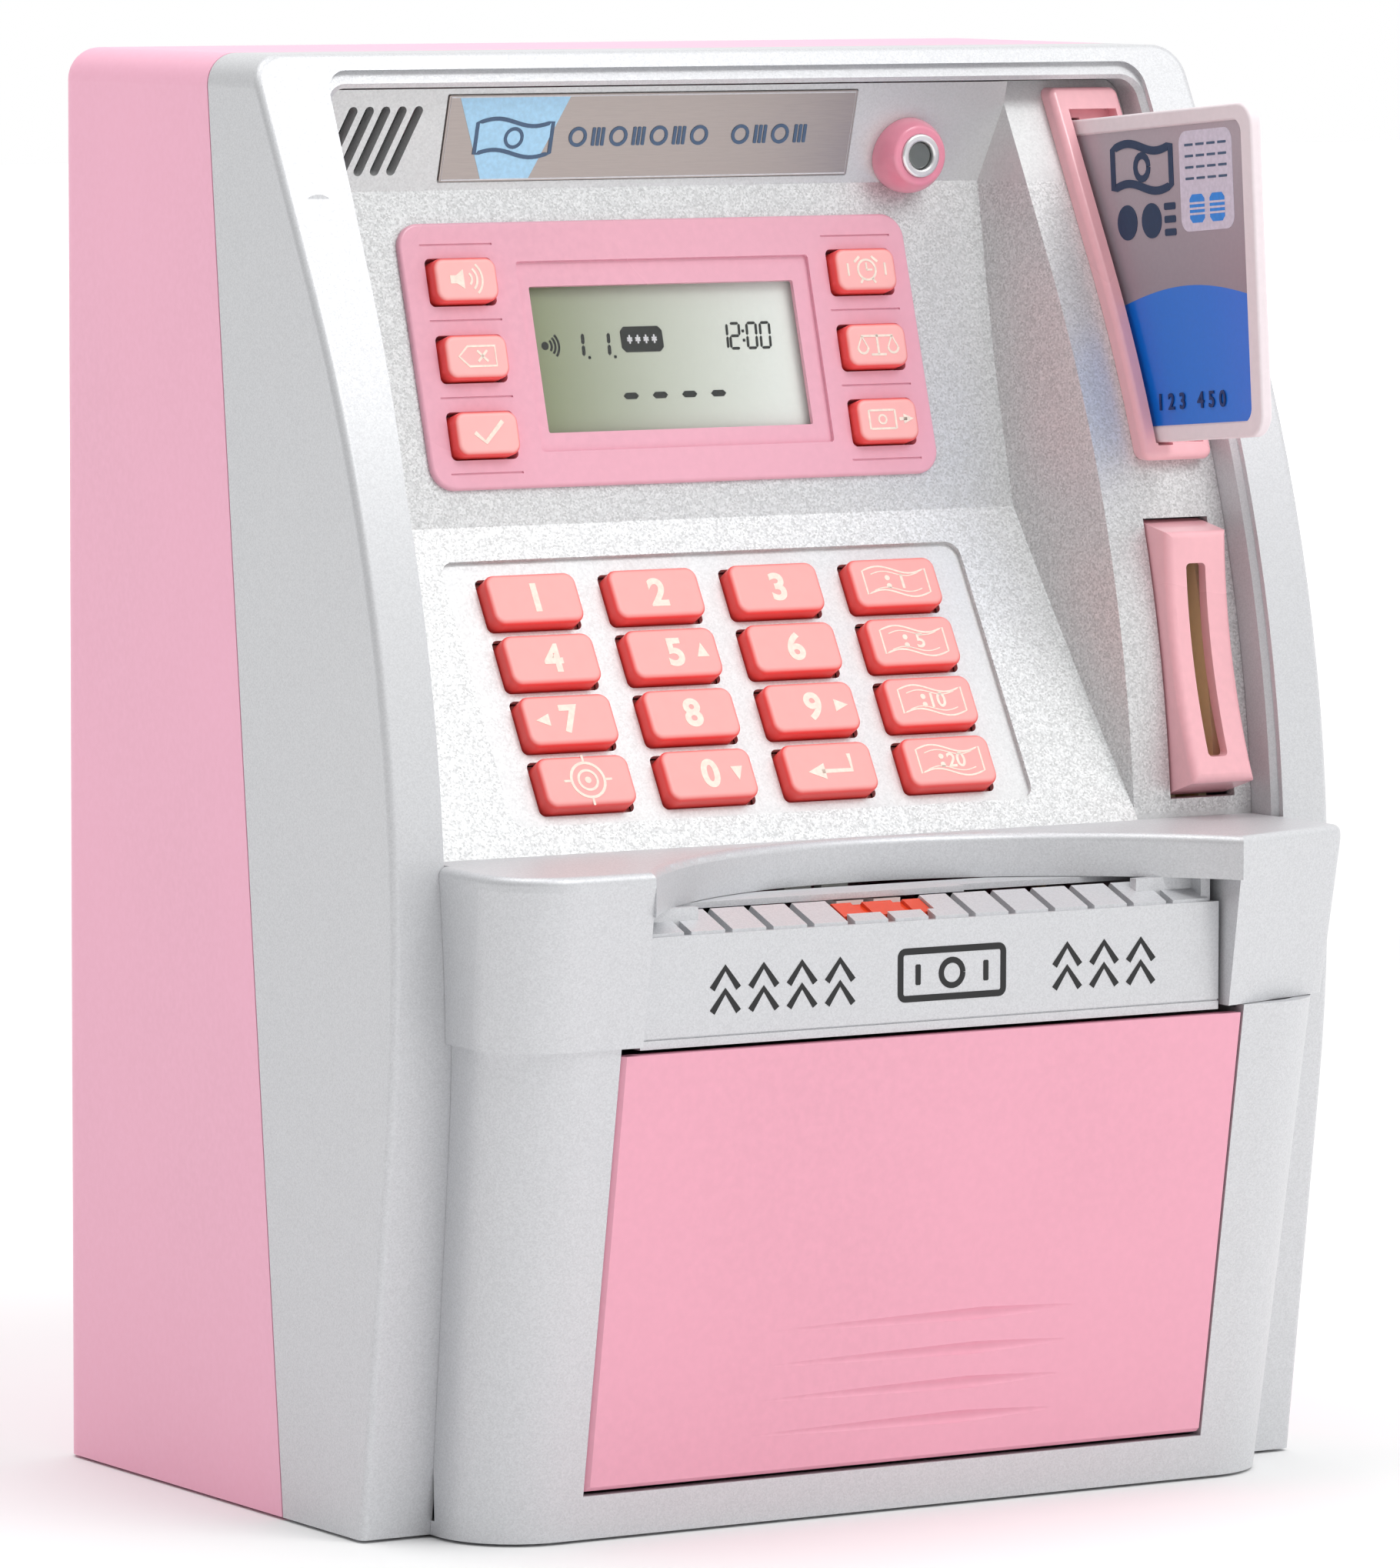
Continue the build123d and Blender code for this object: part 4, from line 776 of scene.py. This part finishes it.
def card_pictures():
    """A banknote, two spots and three bars."""
    art = Piece(CARD, 0.79, 0.90)
    art.line(note_outline(9.4, 18.8, 17.6, 6.8, 0.8), 1.4, closed=True)
    art.arc(9.4, 18.8, 2.0, 1.2, 0, 360)
    art.disc(4.4, 9.6, 3.0).disc(11.8, 9.6, 3.0)
    for shift in (-2.2, 0.0, 2.2):
        art.bar(17.4, 9.6 + shift, 3.4, 1.2)
    art.finish("card_pictures", CARD_NAVY, "card", "card_plastic")


def card_digits():
    """Six raised digits in two groups."""
    digits = Piece(CARD, 0.79, 1.05)
    for index, digit in enumerate("123450"):
        group_gap = 2.2 if index > 2 else 0.0
        digits.number(digit, 12.4 + 3.3 * index + group_gap, -21.2, 2.8)
    digits.finish("card_digits", CARD_DEEP_BLUE, "card", "card_plastic")


card_fields()
card_panel()
card_pictures()
card_digits()


# ---------------------------------------------------------------- pictures on the bill tray

def tray_pictures():
    """A banknote between two rows of double chevrons."""
    tray = Piece(TRAY, -PRINT_SINK, PRINT_RISE)
    for centre, count in ((-29.2, 4), (33.3, 3)):
        for index in range(count):
            u = centre + 7.3 * (index - (count - 1) / 2)
            for base in (-4.6, -0.8):
                tray.line([(u - 2.5, base), (u, base + 3.4), (u + 2.5, base)], 1.1)
    tray.line(rounded(-6.6, 13.4, -4.6, 3.2, 0.9), 1.1, closed=True)
    tray.arc(3.4, -0.7, 2.1, 1.0, 0, 360, 26)
    tray.bar(-3.2, -0.7, 1.0, 3.4).bar(10.0, -0.7, 1.0, 3.4)
    tray.finish("tray_pictures", INK, "case", "silver_paint")


tray_pictures()


# ---------------------------------------------------------------- floor, light and camera

FLOOR_DROP = 0.0005  # keeps the floor just clear of the object's foot
EYE = (-0.8616, -1.4058, 0.2751)


def floor():
    """A wide pale floor that glows only well away from the object, so that it fades into white."""
    mesh = bmesh.new()
    bmesh.ops.create_grid(mesh, x_segments=24, y_segments=24, size=6.0)
    data = bpy.data.meshes.new("floor")
    mesh.to_mesh(data)
    mesh.free()
    s = Shader("floor_paper", 0.9, Emission_Color=(1, 1, 1, 1))
    away = s.add("ShaderNodeVectorMath", {0: s.place}, operation="LENGTH").outputs["Value"]
    s.link(s.span(away, 0.0, 0.6, 0.8, 2.6), "Emission Strength")
    s.link(s.mix(s.noise(3.0), (0.90, 0.90, 0.90, 1), (0.93, 0.93, 0.93, 1)), "Base Color")
    data.materials.append(s.material)
    piece = bpy.data.objects.new("floor", data)
    piece.location.z = -FLOOR_DROP
    SCENE.collection.objects.link(piece)


def softbox(name, place, aim, size, power):
    """A square area light that looks at a point."""
    data = bpy.data.lights.new(name, "AREA")
    data.size = size
    data.energy = power
    lamp = bpy.data.objects.new(name, data)
    lamp.location = place
    lamp.rotation_euler = (Vector(aim) - Vector(place)).to_track_quat("-Z", "Y").to_euler()
    SCENE.collection.objects.link(lamp)


def camera():
    """Long-lens view from the front left, a little above."""
    yaw, pitch, roll = 0.546, 0.096, 0.002
    ahead = Vector((math.sin(yaw), math.cos(yaw), 0))
    right = Vector((math.cos(yaw), -math.sin(yaw), 0))
    up = Vector((0, 0, 1))
    forward = ahead * math.cos(pitch) - up * math.sin(pitch)
    upright = ahead * math.sin(pitch) + up * math.cos(pitch)
    x = right * math.cos(roll) + upright * math.sin(roll)
    y = upright * math.cos(roll) - right * math.sin(roll)
    data = bpy.data.cameras.new("camera")
    data.sensor_width = 36.0
    data.lens = 225.2
    data.clip_start, data.clip_end = 0.05, 50.0
    eye = bpy.data.objects.new("camera", data)
    turn = Matrix((x, y, -forward)).transposed().to_4x4()
    eye.matrix_world = Matrix.Translation(EYE) @ turn
    SCENE.collection.objects.link(eye)
    SCENE.camera = eye


def world():
    """Pale surroundings, dimmest low on the left and brightest high on the right."""
    sky = bpy.data.worlds.new("surroundings")
    sky.use_nodes = True
    tree = sky.node_tree
    way = tree.nodes.new("ShaderNodeTexCoord").outputs["Generated"]
    side = tree.nodes.new("ShaderNodeVectorMath")
    side.operation = "DOT_PRODUCT"
    side.inputs[1].default_value = (0.90, 0.30, 0.55)
    tree.links.new(way, side.inputs[0])
    glow = tree.nodes.new("ShaderNodeMapRange")
    tree.links.new(side.outputs["Value"], glow.inputs["Value"])
    glow.inputs["From Min"].default_value = -0.75
    glow.inputs["From Max"].default_value = 0.55
    glow.inputs["To Min"].default_value = 0.22
    glow.inputs["To Max"].default_value = 1.0
    back = tree.nodes["Background"]
    back.inputs["Color"].default_value = (1, 1, 1, 1)
    tree.links.new(glow.outputs[0], back.inputs["Strength"])
    SCENE.world = sky


floor()
world()
camera()
softbox("key", (0.5, -1.3, 1.9), (0, 0, 0.12), 0.9, 15)
softbox("top", (-0.5, 0.2, 2.0), (0, 0, 0.1), 1.2, 11)
SCENE.view_settings.view_transform = "Standard"
SCENE.view_settings.look = "None"

bpy.context.view_layer.update()
